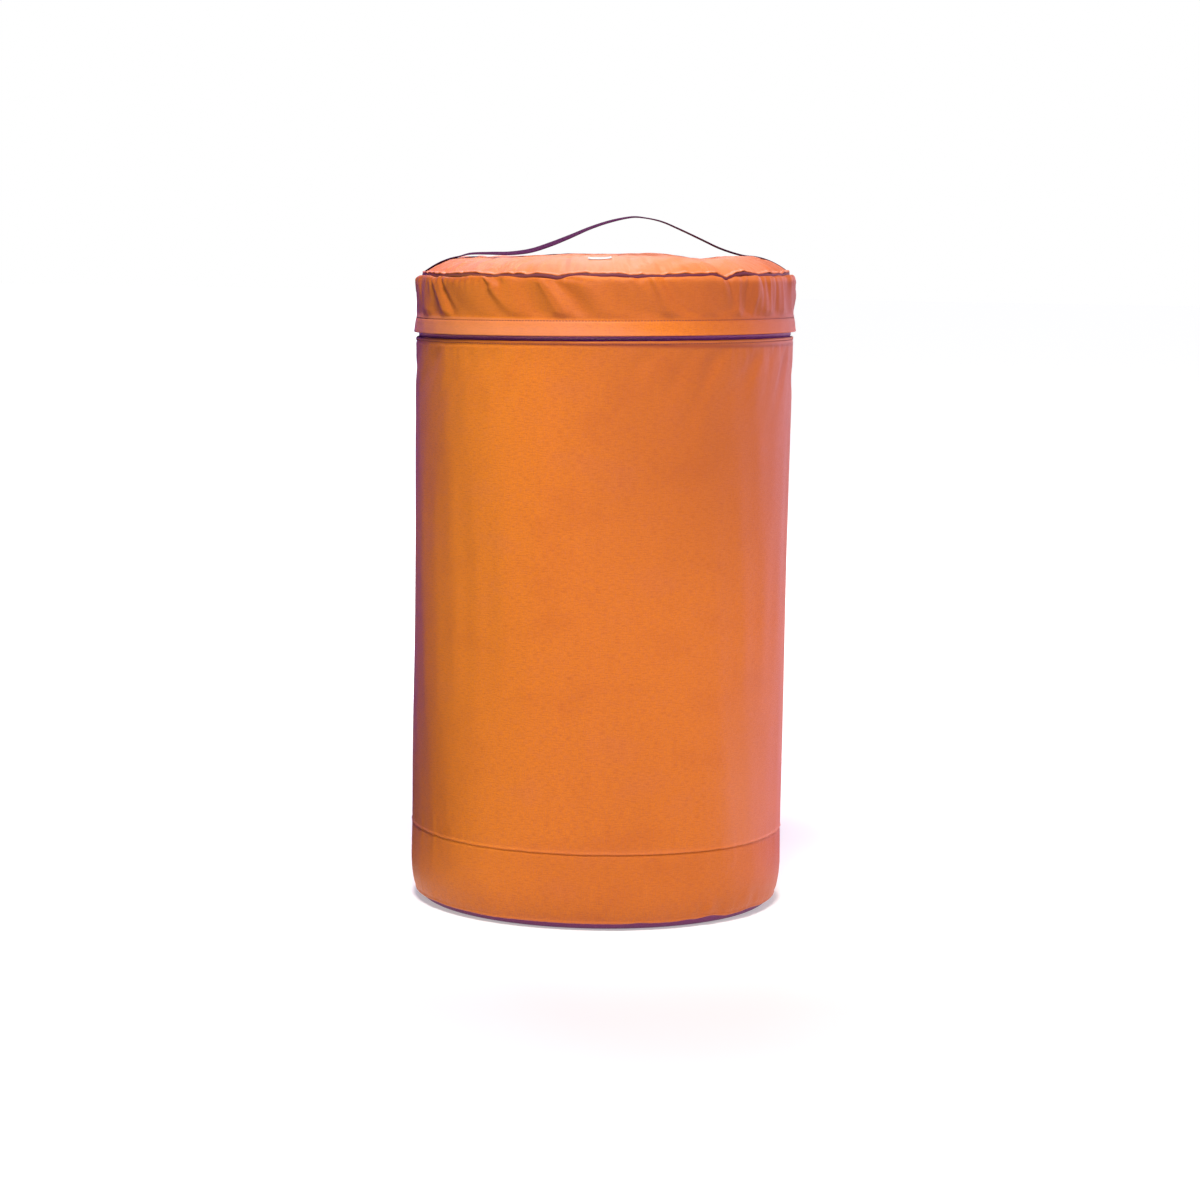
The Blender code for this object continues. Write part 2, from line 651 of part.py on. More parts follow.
def make_pull(bag, tools, carriage, metal):
    pivot = empty_at("pull_axis", Vector((pivot_radius, 0, zip_height)), bag, carriage)
    knuckle = rod("zip_pull", KNUCKLE_RADIUS, KNUCKLE_LENGTH, Vector((0, 0, 0)), bag, pivot)
    out = KNUCKLE_RADIUS - PULL_THICKNESS / 2
    tab = plate("tab_join", [pull_outline(), window_outline()], PULL_THICKNESS,
                Vector((out, 0, 0)), tools, pivot)
    add_boolean(knuckle, tab, "UNION")
    bore = rod("bore_cut", BAR_RADIUS + GAP, KNUCKLE_LENGTH + OVERRUN, Vector((0, 0, 0)), tools, pivot)
    add_boolean(knuckle, bore, "DIFFERENCE")
    knuckle.data.materials.append(metal)


def settle(bag, tools):
    """Each piece keeps its evaluated mesh, with sharp edges marked by their angle."""
    graph = bpy.context.evaluated_depsgraph_get()
    for piece in [o for o in bag.objects if o.type == "MESH"]:
        mesh = bpy.data.meshes.new_from_object(piece.evaluated_get(graph))
        mesh.shade_smooth()
        mesh.set_sharp_from_angle(angle=SHARP_ANGLE)
        piece["made"] = mesh.name
    for piece in [o for o in bag.objects if o.type == "MESH"]:
        mesh = bpy.data.meshes[piece["made"]]
        del piece["made"]
        piece.modifiers.clear()
        piece.data = mesh
        mesh.name = piece.name
    for tool in tools.objects:
        tool.hide_render = True
        tool.display_type = "WIRE"


def hang_on_hinge(hinge):
    """The lid's pieces are built round the bag's axis, then hung from the hinge's axis."""
    axis = Vector((0, flap_radius + GAP, flap_edge))
    hinge.location = axis
    for piece in hinge.children:
        piece.location -= axis


def main():
    for old in list(bpy.data.objects):
        bpy.data.objects.remove(old, do_unlink=True)
    bag = bpy.data.collections.new("tackling_bag")
    tools = bpy.data.collections.new("tackling_bag_cutters")
    for collection in (bag, tools):
        bpy.context.scene.collection.children.link(collection)
    cloth = material("orange_coated_cloth", (0.79, 0.19, 0.026), 0.45)
    base_cloth = material("plum_coated_cloth", (0.10, 0.025, 0.10), 0.6)
    webbing = material("plum_webbing", (0.10, 0.020, 0.10), 0.75)
    tape_cloth = material("plum_zip_tape", (0.075, 0.018, 0.085), 0.8)
    coil = material("plum_zip_coil", (0.06, 0.015, 0.07), 0.4)
    metal = material("dark_zip_metal", (0.09, 0.06, 0.09), 0.35, 0.9)
    firm_foam = material("firm_foam", (0.16, 0.17, 0.20), 0.95)
    soft_foam = material("soft_foam", (0.72, 0.68, 0.55), 0.95)
    label_cloth = material("white_label_cloth", (0.85, 0.85, 0.83), 0.7)
    hinge = empty_at("lid_hinge_axis", (0, 0, 0), bag)
    carriage = empty_at("zip_travel_axis", (0, 0, 0), bag, None, slider_angle)
    make_cover(bag, cloth, base_cloth)
    make_hinge_strip(bag, cloth)
    make_core(bag, firm_foam, soft_foam)
    make_lid(bag, hinge, cloth, label_cloth)
    make_strap(bag, hinge, webbing)
    make_chain(bag, hinge, tape_cloth, coil)
    make_stops(bag, hinge, metal)
    make_slider(bag, tools, carriage, metal)
    make_pull(bag, tools, carriage, metal)
    bpy.context.view_layer.update()
    settle(bag, tools)
    hang_on_hinge(hinge)


main()
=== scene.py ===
import math
import random

import bmesh
import bpy
import numpy as np
from mathutils import Matrix, Vector


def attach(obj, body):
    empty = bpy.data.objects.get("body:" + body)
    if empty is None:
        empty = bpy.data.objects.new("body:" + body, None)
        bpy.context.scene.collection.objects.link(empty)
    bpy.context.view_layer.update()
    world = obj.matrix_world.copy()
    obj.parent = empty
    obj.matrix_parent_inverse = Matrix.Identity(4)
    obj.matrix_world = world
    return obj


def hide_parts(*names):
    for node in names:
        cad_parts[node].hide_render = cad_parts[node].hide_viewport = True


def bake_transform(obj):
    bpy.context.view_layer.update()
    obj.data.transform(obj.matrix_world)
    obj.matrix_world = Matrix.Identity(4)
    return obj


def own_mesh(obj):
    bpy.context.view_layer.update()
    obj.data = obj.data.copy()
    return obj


# Sizes shared with the solids, in metres
BODY_RADIUS = 0.260
FOOT_RADIUS = 0.2578
TAPER = 0.0022
RIM_RADIUS = 0.2517
BAND_HEIGHT = 0.105
SLEEVE_TOP = 0.784
ZIP_HEIGHT = 0.7883
FLAP_EDGE = 0.7902
STITCH_HEIGHT = 0.8097
RIM_HEIGHT = 0.8695
STITCH_TOP = 0.7794
CHAIN_RADIUS = 0.2557
TAPE_RADIUS = CHAIN_RADIUS + 0.00035
LINK_PITCH = 0.0016
BORE_RADIUS = 0.1303
CLOTH = 0.0011
TAB_SIZE = (0.031, 0.010, 0.0006)
TAB_MIDDLE = (-0.0085, -0.2115)
STRAP_WIDTH = 0.038
STRAP_THICKNESS = 0.0016
STRAP_REACH = 0.2512
STRAP_BEND = 0.2495
LOOP_RISE = 0.0500
LOOP_PEAK = 0.046
ZIP_FIRST = math.radians(108)
ZIP_LAST = math.radians(432)
ROWS_FIRST = math.radians(109.99)
ROWS_LAST = math.radians(431.4)
FRONT = math.radians(270)

# Sewing thread
STITCH_LENGTH = 0.0034
STITCH_PITCH = 0.0043
THREAD_RADIUS = 0.00046

# How far the cloth leans, the columns of its mesh, and the size of the lid's finest creases
LEAN = math.tan(math.radians(1.1))
COLUMNS = 480
LID_COLUMNS = 720
CREASE_SIZE = 0.0005

# The camera's place, lens in millimetres, and how far it looks down and tilts, in degrees
CAMERA_PLACE = (0, -4.357, 0.900)
LENS = 94.2
SENSOR_WIDTH = 36
LOOK_DOWN = 6.34
TILT = 1.05

# Ridges and creases of the lid's wall, seen from the front: degrees right of the middle and
# height at both ends, half width and how far it stands out
FOLDS = (
    (-64.0, 0.8650, -53.5, 0.8080, 0.0050, 0.0020),
    (-59.5, 0.8650, -48.5, 0.8050, 0.0045, -0.0030),
    (-66.5, 0.8655, -64.8, 0.8360, 0.0050, 0.0016),
    (-38.3, 0.8670, -34.3, 0.8545, 0.0030, 0.0032),
    (-35.0, 0.8670, -31.5, 0.8560, 0.0040, -0.0030),
    (-35.6, 0.8520, -28.0, 0.8180, 0.0060, 0.0020),
    (-18.8, 0.8610, -10.6, 0.8120, 0.0070, 0.0030),
    (-15.5, 0.8640, -7.0, 0.8300, 0.0070, -0.0024),
    (-11.5, 0.8650, -4.5, 0.8600, 0.0034, -0.0022),
    (7.5, 0.8670, 11.0, 0.8500, 0.0050, 0.0022),
    (13.6, 0.8660, 19.2, 0.8160, 0.0060, 0.0028),
    (17.2, 0.8650, 22.0, 0.8300, 0.0070, -0.0026),
    (25.0, 0.8600, 29.0, 0.8200, 0.0090, -0.0012),
    (36.0, 0.8670, 37.8, 0.8360, 0.0050, 0.0026),
    (39.3, 0.8670, 41.0, 0.8260, 0.0040, -0.0022),
    (42.6, 0.8680, 42.4, 0.8120, 0.0036, 0.0016),
    (47.0, 0.8680, 46.0, 0.8220, 0.0040, -0.0018),
    (50.9, 0.8660, 49.2, 0.8140, 0.0032, 0.0026),
    (54.0, 0.8660, 53.5, 0.8160, 0.0034, -0.0016),
    (57.9, 0.8660, 58.2, 0.8120, 0.0034, 0.0022),
    (62.5, 0.8660, 62.0, 0.8140, 0.0036, -0.0016),
    (66.6, 0.8640, 66.8, 0.8100, 0.0040, 0.0020),
)
# Rise of the rim's seam: degrees right of the middle, half width in degrees, height
RIM_WAVES = (
    (-63.0, 3.0, -0.0012), (-45.0, 5.0, 0.0012), (-37.0, 2.0, -0.0014), (-24.0, 5.0, 0.0006),
    (-14.2, 2.6, -0.0030), (-8.0, 4.0, 0.0010), (2.0, 3.0, 0.0012), (9.0, 2.0, -0.0014),
    (18.0, 5.0, -0.0012), (33.0, 3.0, 0.0010), (39.0, 2.4, -0.0046), (46.4, 2.4, 0.0030),
    (55.0, 3.0, -0.0008),
)

# The band's lower edge and the pleats above it: degrees right of the middle, half width in
# degrees, then the rise, or the height and how far it stands out
FOOT_WAVES = (
    (-61.0, 5.0, 0.0014), (-33.0, 7.0, -0.0010), (14.0, 3.0, 0.0012), (30.0, 2.6, 0.0016),
    (38.5, 4.0, 0.0036), (46.0, 3.0, -0.0008), (58.0, 5.0, 0.0018), (100.0, 6.0, 0.0014),
    (150.0, 8.0, 0.0012), (-120.0, 7.0, 0.0014),
)
FOOT_PLEATS = (
    (34.0, 1.6, 0.020, -0.0020), (37.5, 1.6, 0.024, 0.0024), (42.0, 1.8, 0.020, -0.0016),
    (53.0, 2.2, 0.030, 0.0012), (58.0, 2.0, 0.026, -0.0012), (-62.0, 2.4, 0.018, 0.0012),
    (96.0, 2.0, 0.022, -0.0016), (100.0, 2.0, 0.022, 0.0018), (152.0, 2.4, 0.024, 0.0016),
    (-118.0, 2.2, 0.022, 0.0018), (-123.0, 2.2, 0.022, -0.0014), (8.0, 2.4, 0.016, 0.0010),
)

# Where the rim's seam gapes: degrees right of the middle, half width in degrees, how far
CREASE_GAPES = (
    (-64.0, 2.0, 0.0010), (-51.0, 6.5, 0.0019), (-20.0, 7.5, 0.0021), (2.5, 4.5, 0.0013),
    (10.5, 2.0, 0.0010), (25.0, 4.0, 0.0005), (36.5, 2.6, 0.0012), (46.0, 3.2, 0.0026),
    (62.0, 5.0, 0.0005), (110.0, 9.0, 0.0014), (150.0, 5.0, 0.0018), (-95.0, 6.0, 0.0015),
    (-140.0, 9.0, 0.0012),
)

# The carry strap's loop: places as shares of the rim's radius, its rise and its twist as shares
STRAP_TWIST = math.radians(6)
LOOP_X_SHARES = (-1.0, -0.815, -0.747, -0.636, -0.528, -0.417, -0.31, -0.20, -0.09,
                 0.02, 0.127, 0.183, 0.294, 0.40, 0.513, 0.62, 0.73, 0.787, 1.0)
LOOP_RISE_SHARES = (0.0, 0.0, 0.064, 0.058, 0.042, 0.10, 0.26, 0.473, 0.705,
                    0.886, 0.998, 1.0, 0.896, 0.683, 0.431, 0.194, 0.032, 0.0, 0.0)
LOOP_TWIST_SHARES = (0.0, 0.0, 0.2, 0.4, 0.6, 0.8, 0.9, 0.8, 0.6,
                     0.4, 0.1, 0.0, -0.2, -0.5, -0.7, -0.7, -0.4, 0.0, 0.0)

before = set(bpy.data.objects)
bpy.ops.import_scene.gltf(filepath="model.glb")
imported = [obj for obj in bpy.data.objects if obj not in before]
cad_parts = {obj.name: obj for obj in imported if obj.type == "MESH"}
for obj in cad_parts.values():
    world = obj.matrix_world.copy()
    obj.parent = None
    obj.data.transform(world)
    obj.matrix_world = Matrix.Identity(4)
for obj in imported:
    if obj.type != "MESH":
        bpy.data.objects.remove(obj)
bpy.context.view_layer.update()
scene = bpy.context.scene


# Camera, light and floor

def add_object(name, data):
    made = bpy.data.objects.new(name, data)
    scene.collection.objects.link(made)
    return made


def make_camera():
    data = bpy.data.cameras.new("view_camera")
    data.sensor_width = SENSOR_WIDTH
    data.lens = LENS
    camera = add_object("view_camera", data)
    pitch = Matrix.Rotation(math.radians(90 - LOOK_DOWN), 4, "X")
    roll = Matrix.Rotation(math.radians(TILT), 4, "Z")
    camera.matrix_world = Matrix.Translation(CAMERA_PLACE) @ pitch @ roll
    scene.camera = camera


def add_light(name, place, target, size, power, colour, spread=180):
    data = bpy.data.lights.new(name, "AREA")
    data.shape = "RECTANGLE"
    data.size, data.size_y = size
    data.energy = power
    data.color = colour
    data.spread = math.radians(spread)
    light = add_object(name, data)
    light.location = place
    aim = Vector(target) - Vector(place)
    light.rotation_euler = aim.to_track_quat("-Z", "Y").to_euler()
    return light


def make_lights():
    add_light("key_light", (-0.22, -3.3, 7.0), target=(0, 0, 0.5), size=(1.6, 1.6), power=605,
              colour=(1, 0.985, 0.95))
    add_light("back_light", (-0.5, 4.2, 5.0), target=(0, 0, 0.8), size=(2.4, 2.4), power=190,
              colour=(1, 0.97, 0.97))
    add_light("lilac_light", (2.9, 2.3, 1.3), target=(0, 0, 0.6), size=(1.0, 2.2), power=4.5,
              colour=(0.92, 0.50, 1.0), spread=60)
    warm = add_light("warm_light", (-2.85, -0.75, 0.8), target=(0, 0, 0.45), size=(1.8, 1.5), power=225,
                     colour=(1, 0.43, 0.07))
    warm.visible_diffuse = False


def make_sky():
    """White near the horizon, as a studio's far walls are, and dimmer overhead."""
    world = bpy.data.worlds.new("studio")
    world.use_nodes = True
    tree = world.node_tree
    parts = split(tree, add_node(tree, "ShaderNodeTexCoord").outputs["Generated"])
    ramp = add_node(tree, "ShaderNodeValToRGB", {"Fac": parts["Z"]})
    white, overhead = ramp.color_ramp.elements
    white.position = 0.16
    white.color = (1, 1, 1, 1)
    overhead.position = 0.42
    overhead.color = (0.22, 0.22, 0.24, 1)
    fill(tree.nodes["Background"], {"Color": ramp.outputs["Color"], "Strength": 1.0})
    scene.world = world


def stage_sheet(name, size, place, turn, colour):
    bm = bmesh.new()
    bmesh.ops.create_grid(bm, x_segments=1, y_segments=1, size=0.5)
    mesh = bpy.data.meshes.new(name)
    bm.to_mesh(mesh)
    bm.free()
    sheet = add_object(name, mesh)
    sheet.scale = (size[0], size[1], 1)
    sheet.location = place
    sheet.rotation_euler = [math.radians(degrees) for degrees in turn]
    paint, _, shader = node_material(name + "_paint", roughness=0.9, specular=0.0)
    fill(shader, {"Base Color": colour})
    mesh.materials.append(paint)
    return sheet


def glow(sheet, colour):
    shader = sheet.data.materials[0].node_tree.nodes["Principled BSDF"]
    fill(shader, {"Emission Color": colour, "Emission Strength": 1.0})


def brighten_far_floor(floor):
    """The floor glows, more with distance so that it goes over into the white of the far walls, and a little
    under the bag and to the left of it: a painted glow that washes out the bag's contact shadow and the
    darkening that the dark floor card to the left leaves."""
    paint = floor.data.materials[0]
    tree = paint.node_tree
    place = add_node(tree, "ShaderNodeNewGeometry").outputs["Position"]
    parts = split(tree, place)
    reach = add_node(tree, "ShaderNodeVectorMath", {0: place}, operation="LENGTH").outputs["Value"]
    far = eased_range(tree, reach, 0.5, 4.2, 0.11, 0.80)
    # Painted glow to the left of the bag, and under it, where it washes out the contact shadow.
    left = eased_range(tree, parts["X"], -0.24, -0.44, 0.0, 0.42)
    beside = eased_range(tree, parts["Y"], -0.60, -0.30, 0.0, 1.0)
    contact_shadow_glow = eased_range(tree, reach, 0.24, 0.75, 0.26, 0.0)
    total = maths(tree, "ADD", maths(tree, "MULTIPLY_ADD", left, beside, contact_shadow_glow), far)
    fill(tree.nodes["Principled BSDF"], {"Emission Color": (1, 1, 1), "Emission Strength": total})
    paint.cycles.emission_sampling = "NONE"


def make_cards():
    """Coloured cards out of view, whose colours the bag's sides and the floor pick up."""
    cards = {}
    for name, size, place, turn, colour in (
            ("left_card", (2.0, 2.6), (-0.98, 0.62, 1.31), (90, 0, 36), (0.06, 0.008, 0.14)),
            ("side_card", (2.1, 2.6), (-0.98, -0.30, 1.31), (90, 0, 92), (0.05, 0.02, 0.05)),
            ("right_card", (1.9, 0.86), (0.98, 0.75, 0.45), (90, 0, -33), (0.95, 0.66, 0.80)),
            ("left_floor_card", (2.4, 2.2), (-1.52, 0.72, 0.004), (0, 0, 0), (0.03, 0.008, 0.03)),
            ("right_floor_card", (2.2, 1.9), (1.46, 0.95, 0.004), (0, 0, 0), (0.42, 0.18, 0.50))):
        cards[name] = stage_sheet(name, size, place, turn, colour)
        cards[name].visible_camera = False
        cards[name].visible_shadow = False
    cards["right_floor_card"].visible_diffuse = False
    glow(cards["left_card"], (0.05, 0.0, 0.75))
    glow(cards["right_card"], (0.32, 0.29, 0.28))


def make_studio():
    make_sky()
    scene.view_settings.view_transform = "Standard"
    make_lights()
    brighten_far_floor(stage_sheet("floor", (120, 120), (0, 0, 0), (0, 0, 0), (0.66, 0.66, 0.66)))
    make_cards()


# Small maths

def eased(share):
    t = np.clip(share, 0, 1)
    return t * t * (3 - 2 * t)


def hill(x, middle, width):
    """A smooth hill that is 1 high at its middle."""
    return np.exp(-((x - middle) / width) ** 2)


def front_degrees(angle):
    """Degrees right of the front, from -180 to 180."""
    return (np.degrees(angle - FRONT) + 180) % 360 - 180


def smooth_table(x, positions, values):
    """Smooth value at positions x from a table, as the solids have it."""
    x = np.asarray(x, float)
    p = np.array(positions)
    v = np.array(values)
    i = np.clip(np.searchsorted(p, x, side="left") - 1, 0, len(p) - 2)
    before = np.maximum(i - 1, 0)
    after = np.minimum(i + 2, len(p) - 1)
    span = p[i + 1] - p[i]
    t = np.clip((x - p[i]) / span, 0, 1)
    slope_in = (v[i + 1] - v[before]) / (p[i + 1] - p[before]) * span
    slope_out = (v[after] - v[i]) / (p[after] - p[i]) * span
    rise = v[i + 1] - v[i]
    curve = (3 * rise - 2 * slope_in - slope_out) + (slope_in + slope_out - 2 * rise) * t
    return v[i] + t * (slope_in + t * curve)


def make_waves(seed, count, turns, pitch, size):
    """Ripples that close round the bag: turns round it, waves a metre, phase and size."""
    rng = random.Random(seed)
    waves = []
    for _ in range(count):
        share = rng.uniform(0.4, 1.0)
        waves.append((rng.randint(*turns), rng.uniform(*pitch), rng.uniform(0, 2 * math.pi),
                      share * size / math.sqrt(count)))
    return waves


def rippled(angle, height, waves):
    total = np.zeros(np.broadcast(angle, height).shape)
    for turns, pitch, phase, size in waves:
        total += size * np.cos(turns * angle + 2 * math.pi * pitch * height + phase)
    return total


SLACK = make_waves(3, 14, (2, 9), (-2.2, 2.2), 0.0016)
CREEP = make_waves(5, 16, (14, 42), (-3.0, 3.0), 0.0006)
PUCKER = make_waves(7, 18, (60, 170), (-9.0, 9.0), 0.0007)
GATHERS = make_waves(19, 12, (12, 44), (-4.0, -14.0), 0.0021)
RIM_RIPPLE = make_waves(11, 12, (7, 46), (0.0, 0.0), 0.0007)
LID_SLACK = make_waves(13, 22, (6, 34), (2.0, 16.0), 0.0026)
TOP_CREASE = make_waves(17, 12, (24, 80), (-3.0, 3.0), CREASE_SIZE)


def back_folds():
    """Folds of the same kind as the front's, for the back of the lid."""
    rng = random.Random(21)
    folds = []
    degrees = 74.0
    while degrees < 284:
        top = 0.866 - rng.uniform(0, 0.004)
        low = top - rng.uniform(0.014, 0.052)
        lean = rng.uniform(-7, 7)
        out = rng.choice((-1, 1, 1)) * rng.uniform(0.0012, 0.0028)
        folds.append((degrees, top, degrees + lean, low, rng.uniform(0.0034, 0.0075), out))
        degrees += rng.uniform(3.5, 9.0)
    return folds


ALL_FOLDS = FOLDS + tuple(back_folds())


def fold_relief(angle, height):
    """How far the wall of the lid stands out at angles and heights."""
    degrees = front_degrees(angle)
    total = np.zeros(np.broadcast(angle, height).shape)
    for a0, z0, a1, z1, width, out in ALL_FOLDS:
        gap = (degrees - a0 + 180) % 360 - 180
        x = np.radians(gap) * BODY_RADIUS
        y = height - z0
        dx = math.radians(a1 - a0) * BODY_RADIUS
        dy = z1 - z0
        along = (x * dx + y * dy) / (dx * dx + dy * dy)
        t = np.clip(along, 0, 1)
        away = np.hypot(x - t * dx, y - t * dy) / (width * (0.8 + 0.7 * t))
        total += 1.5 * out * np.exp(-away ** 2) * (1 - 0.65 * t)
    return total


def add_hills(total, angle, hills, power=2):
    """Adds hills round the bag, each by its degrees right of the front, half width and height."""
    degrees = front_degrees(angle)
    for middle, width, height in hills:
        total = total + height * np.exp(-((degrees - middle) / width) ** power)
    return total


def foot_lift(angle):
    """How far the band's lower edge rides up or hangs down."""
    return add_hills(0 * angle, angle, FOOT_WAVES)


def foot_folds(angle, z):
    """A pulled-up pucker and a few small pleats where the band turns in under the bag."""
    degrees = front_degrees(angle)
    total = np.zeros(np.broadcast(angle, z).shape)
    for middle, width, height, out in FOOT_PLEATS:
        total += out * np.exp(-((degrees - middle) / width) ** 2 - ((z - height) / 0.012) ** 2)
    return total


def crease_opening(angle):
    """How far the rim's seam gapes below the lid's top."""
    slack = 0.0002 + 0.6 * np.abs(rippled(angle, 0.0, RIM_RIPPLE))
    return add_hills(slack, angle, CREASE_GAPES, 4)


def rim_rise(angle):
    """How far the rim's seam rides up or down."""
    return add_hills(rippled(angle, 0.0, RIM_RIPPLE) * 0.8, angle, RIM_WAVES)


def leaned(x, y, z):
    """The lid sits a little askew: its right side up and its left side down, at the front."""
    front_end, back_start = -0.03, 0.16
    up = np.clip((z - BAND_HEIGHT) / (SLEEVE_TOP - BAND_HEIGHT), 0, 1)
    front = 1 - eased((y - front_end) / (back_start - front_end))
    return z + x * LEAN * up * front


def lid_surface(r):
    """Height of the lid's top: domed a little, and rolled over near the rim."""
    roll_width = 0.055
    roll = np.clip((r - (RIM_RADIUS - roll_width)) / roll_width, 0, 1)
    return RIM_HEIGHT + 0.020 * (1 - roll ** 2) + 0.006 * (1 - (r / RIM_RADIUS) ** 2)


# Meshes

def round_place(angle, r, z):
    x = r * np.cos(angle)
    y = r * np.sin(angle)
    return np.stack([x, y, leaned(x, y, z)], -1)


def outward(angles):
    """The way straight out from the bag's axis."""
    return np.stack([np.cos(angles), np.sin(angles), 0 * angles], -1)


def lengths_along(line):
    return np.concatenate([[0], np.cumsum(np.linalg.norm(np.diff(line, axis=0), axis=1))])


def angles_round(count, first=0.0, last=None):
    """Angles round the whole bag, or from a first one to a last one."""
    if last is None:
        return first + np.arange(count) * 2 * math.pi / count
    return np.linspace(first, last, count)


def metres_round(angles, down, whole=True):
    """A map in metres for a skin round the bag, from its angles and the way down it."""
    if whole:
        angles = np.append(angles, angles[0] + 2 * math.pi)
    return np.stack(np.broadcast_arrays(angles[None, :] * BODY_RADIUS, -down[:, None]), -1)


def turned_block(name, angles, radius, height, section, closed=True):
    """A block turned round the bag's axis. Closed, its first and last ring draw together."""
    points = round_place(angles[None, :], radius, height)
    if closed:
        close_ends(points)
    return grid_object(name, points, metres_round(angles, lengths_along(section)), False, True)


def close_ends(points):
    """Draws the first and the last ring of a skin together on the axis."""
    points[0] = points[0].mean(0)
    points[-1] = points[-1].mean(0)


def mend_normals(mesh, weld):
    bm = bmesh.new()
    bm.from_mesh(mesh)
    if weld:
        bmesh.ops.remove_doubles(bm, verts=bm.verts, dist=1e-6)
    bmesh.ops.recalc_face_normals(bm, faces=bm.faces)
    bm.to_mesh(mesh)
    bm.free()
    mesh.shade_smooth()


def mesh_object(name, vertices, faces, uvs=None):
    mesh = bpy.data.meshes.new(name)
    mesh.from_pydata([tuple(v) for v in vertices], [], faces)
    if uvs is not None:
        layer = mesh.uv_layers.new(name="metres")
        layer.data.foreach_set("uv", np.asarray(uvs, np.float32).ravel())
    return add_object(name, mesh)


def grid_object(name, points, uv, wrap_rows, wrap_columns):
    """A skin over a grid of points, whose rows run down outside and columns to the right."""
    rows, columns = points.shape[:2]
    index = np.arange(rows * columns).reshape(rows, columns)
    if wrap_columns:
        index = np.concatenate([index, index[:, :1]], 1)
    if wrap_rows:
        index = np.concatenate([index, index[:1]], 0)
    quads = np.stack([index[:-1, :-1], index[1:, :-1], index[1:, 1:], index[:-1, 1:]], -1)
    corners = np.stack([uv[:-1, :-1], uv[1:, :-1], uv[1:, 1:], uv[:-1, 1:]], -2)
    faces = quads.reshape(-1, 4).tolist()
    loops = corners.reshape(-1, 2)
    if wrap_rows and not wrap_columns:
        first = index[:-1, 0].tolist()
        last = index[:-1, -1].tolist()[::-1]
        faces += [first[::-1], last[::-1]]
        loops = np.concatenate([loops, uv[:-1, 0][::-1], uv[:-1, -1]])
    made = mesh_object(name, points.reshape(-1, 3), faces, loops)
    mend_normals(made.data, weld=True)
    return made


def finer(points, step):
    """A line of radius and height points, with more points between, along smooth curves."""
    p = np.array(points, float)
    made = [p[0]]
    for i in range(len(p) - 1):
        a = p[max(i - 1, 0)]
        b, c = p[i], p[i + 1]
        d = p[min(i + 2, len(p) - 1)]
        reach = np.linalg.norm(c - b)
        count = max(1, math.ceil(reach / step))
        into = (c - a) * reach / max(np.linalg.norm(c - b) + np.linalg.norm(b - a), 1e-9)
        out = (d - b) * reach / max(np.linalg.norm(c - b) + np.linalg.norm(d - c), 1e-9)
        for k in range(1, count + 1):
            t = k / count
            made.append((2 * t ** 3 - 3 * t ** 2 + 1) * b + (t ** 3 - 2 * t ** 2 + t) * into
                        + (3 * t ** 2 - 2 * t ** 3) * c + (t ** 3 - t ** 2) * out)
    return np.array(made)


def line_normals(line):
    steps = np.gradient(line, axis=0)
    normal = np.stack([-steps[:, 1], steps[:, 0]], -1)
    return normal / np.maximum(np.linalg.norm(normal, axis=1, keepdims=True), 1e-9)


def turned_edge(outer, inner, way):
    """Three points that round off the cloth's edge, in the order that the section runs."""
    middle = (outer + inner) / 2
    out = (outer - inner) / 2
    down = np.array([out[1], -out[0]]) * way
    quarter = math.pi / 4
    points = [middle + out * math.cos(a) + down * math.sin(a) for a in (quarter, 2 * quarter, 3 * quarter)]
    return points[::way]


def cloth_ring(name, line, thickness, relief, columns=COLUMNS, first=0.0, last=None, disc=False):
    """Cloth turned round the bag from its outer line. relief(angle, r, z) gives how far each
    point moves out and up, and the inner side moves with the outer one."""
    line = np.asarray(line, float)
    whole = last is None
    angles = angles_round(columns, first, last)
    inner = line - line_normals(line) * thickness
    if disc:
        inner[0] = (0, line[0, 1] - thickness)
    n = len(line)
    along = lengths_along(line)
    back = along[-1] + thickness + (along[-1] - along[::-1])
    edge = thickness * np.array([0.3, 0.6, 0.9])
    section = [line, turned_edge(line[-1], inner[-1], 1), inner[::-1]]
    source = [np.arange(n), [n - 1] * 3, np.arange(n)[::-1]]
    down = [along, along[-1] + edge, back]
    if not disc:
        section.append(turned_edge(line[0], inner[0], -1))
        source.append([0] * 3)
        down += [back[-1] + edge, [back[-1] + thickness]]
    section = np.concatenate(section)
    source = np.concatenate(source)
    out, up = relief(angles[None, :], line[:, :1], line[:, 1:])
    out = np.broadcast_to(out, (n, columns))[source]
    up = np.broadcast_to(up, (n, columns))[source]
    points = round_place(angles[None, :], section[:, :1] + out, section[:, 1:] + up)
    if disc:
        close_ends(points)
    return grid_object(name, points, metres_round(angles, np.concatenate(down), whole), not disc, whole)


def still(angle, r, z):
    """No relief, for cloth and foam that keep their plain shape."""
    return np.zeros(np.broadcast(angle, z).shape), np.zeros(np.broadcast(angle, z).shape)


def tube_faces(rings, sides):
    """Faces of a closed tube, whose points come ring by ring."""
    faces = []
    for row in range(rings - 1):
        for k in range(sides):
            after = (k + 1) % sides
            low, high = row * sides, (row + 1) * sides
            faces.append([low + k, low + after, high + after, high + k])
    faces.append(list(range(sides))[::-1])
    faces.append(list(range((rings - 1) * sides, rings * sides)))
    return faces


def copies(shape, faces, centres, *axes):
    """The points and faces of one small shape at every centre, along the axes given there."""
    points = centres[:, None]
    for k, axis in enumerate(axes):
        points = points + axis[:, None] * shape[None, :, k:k + 1]
    return points, [[v + i * len(shape) for v in face] for i in range(len(centres)) for face in faces]


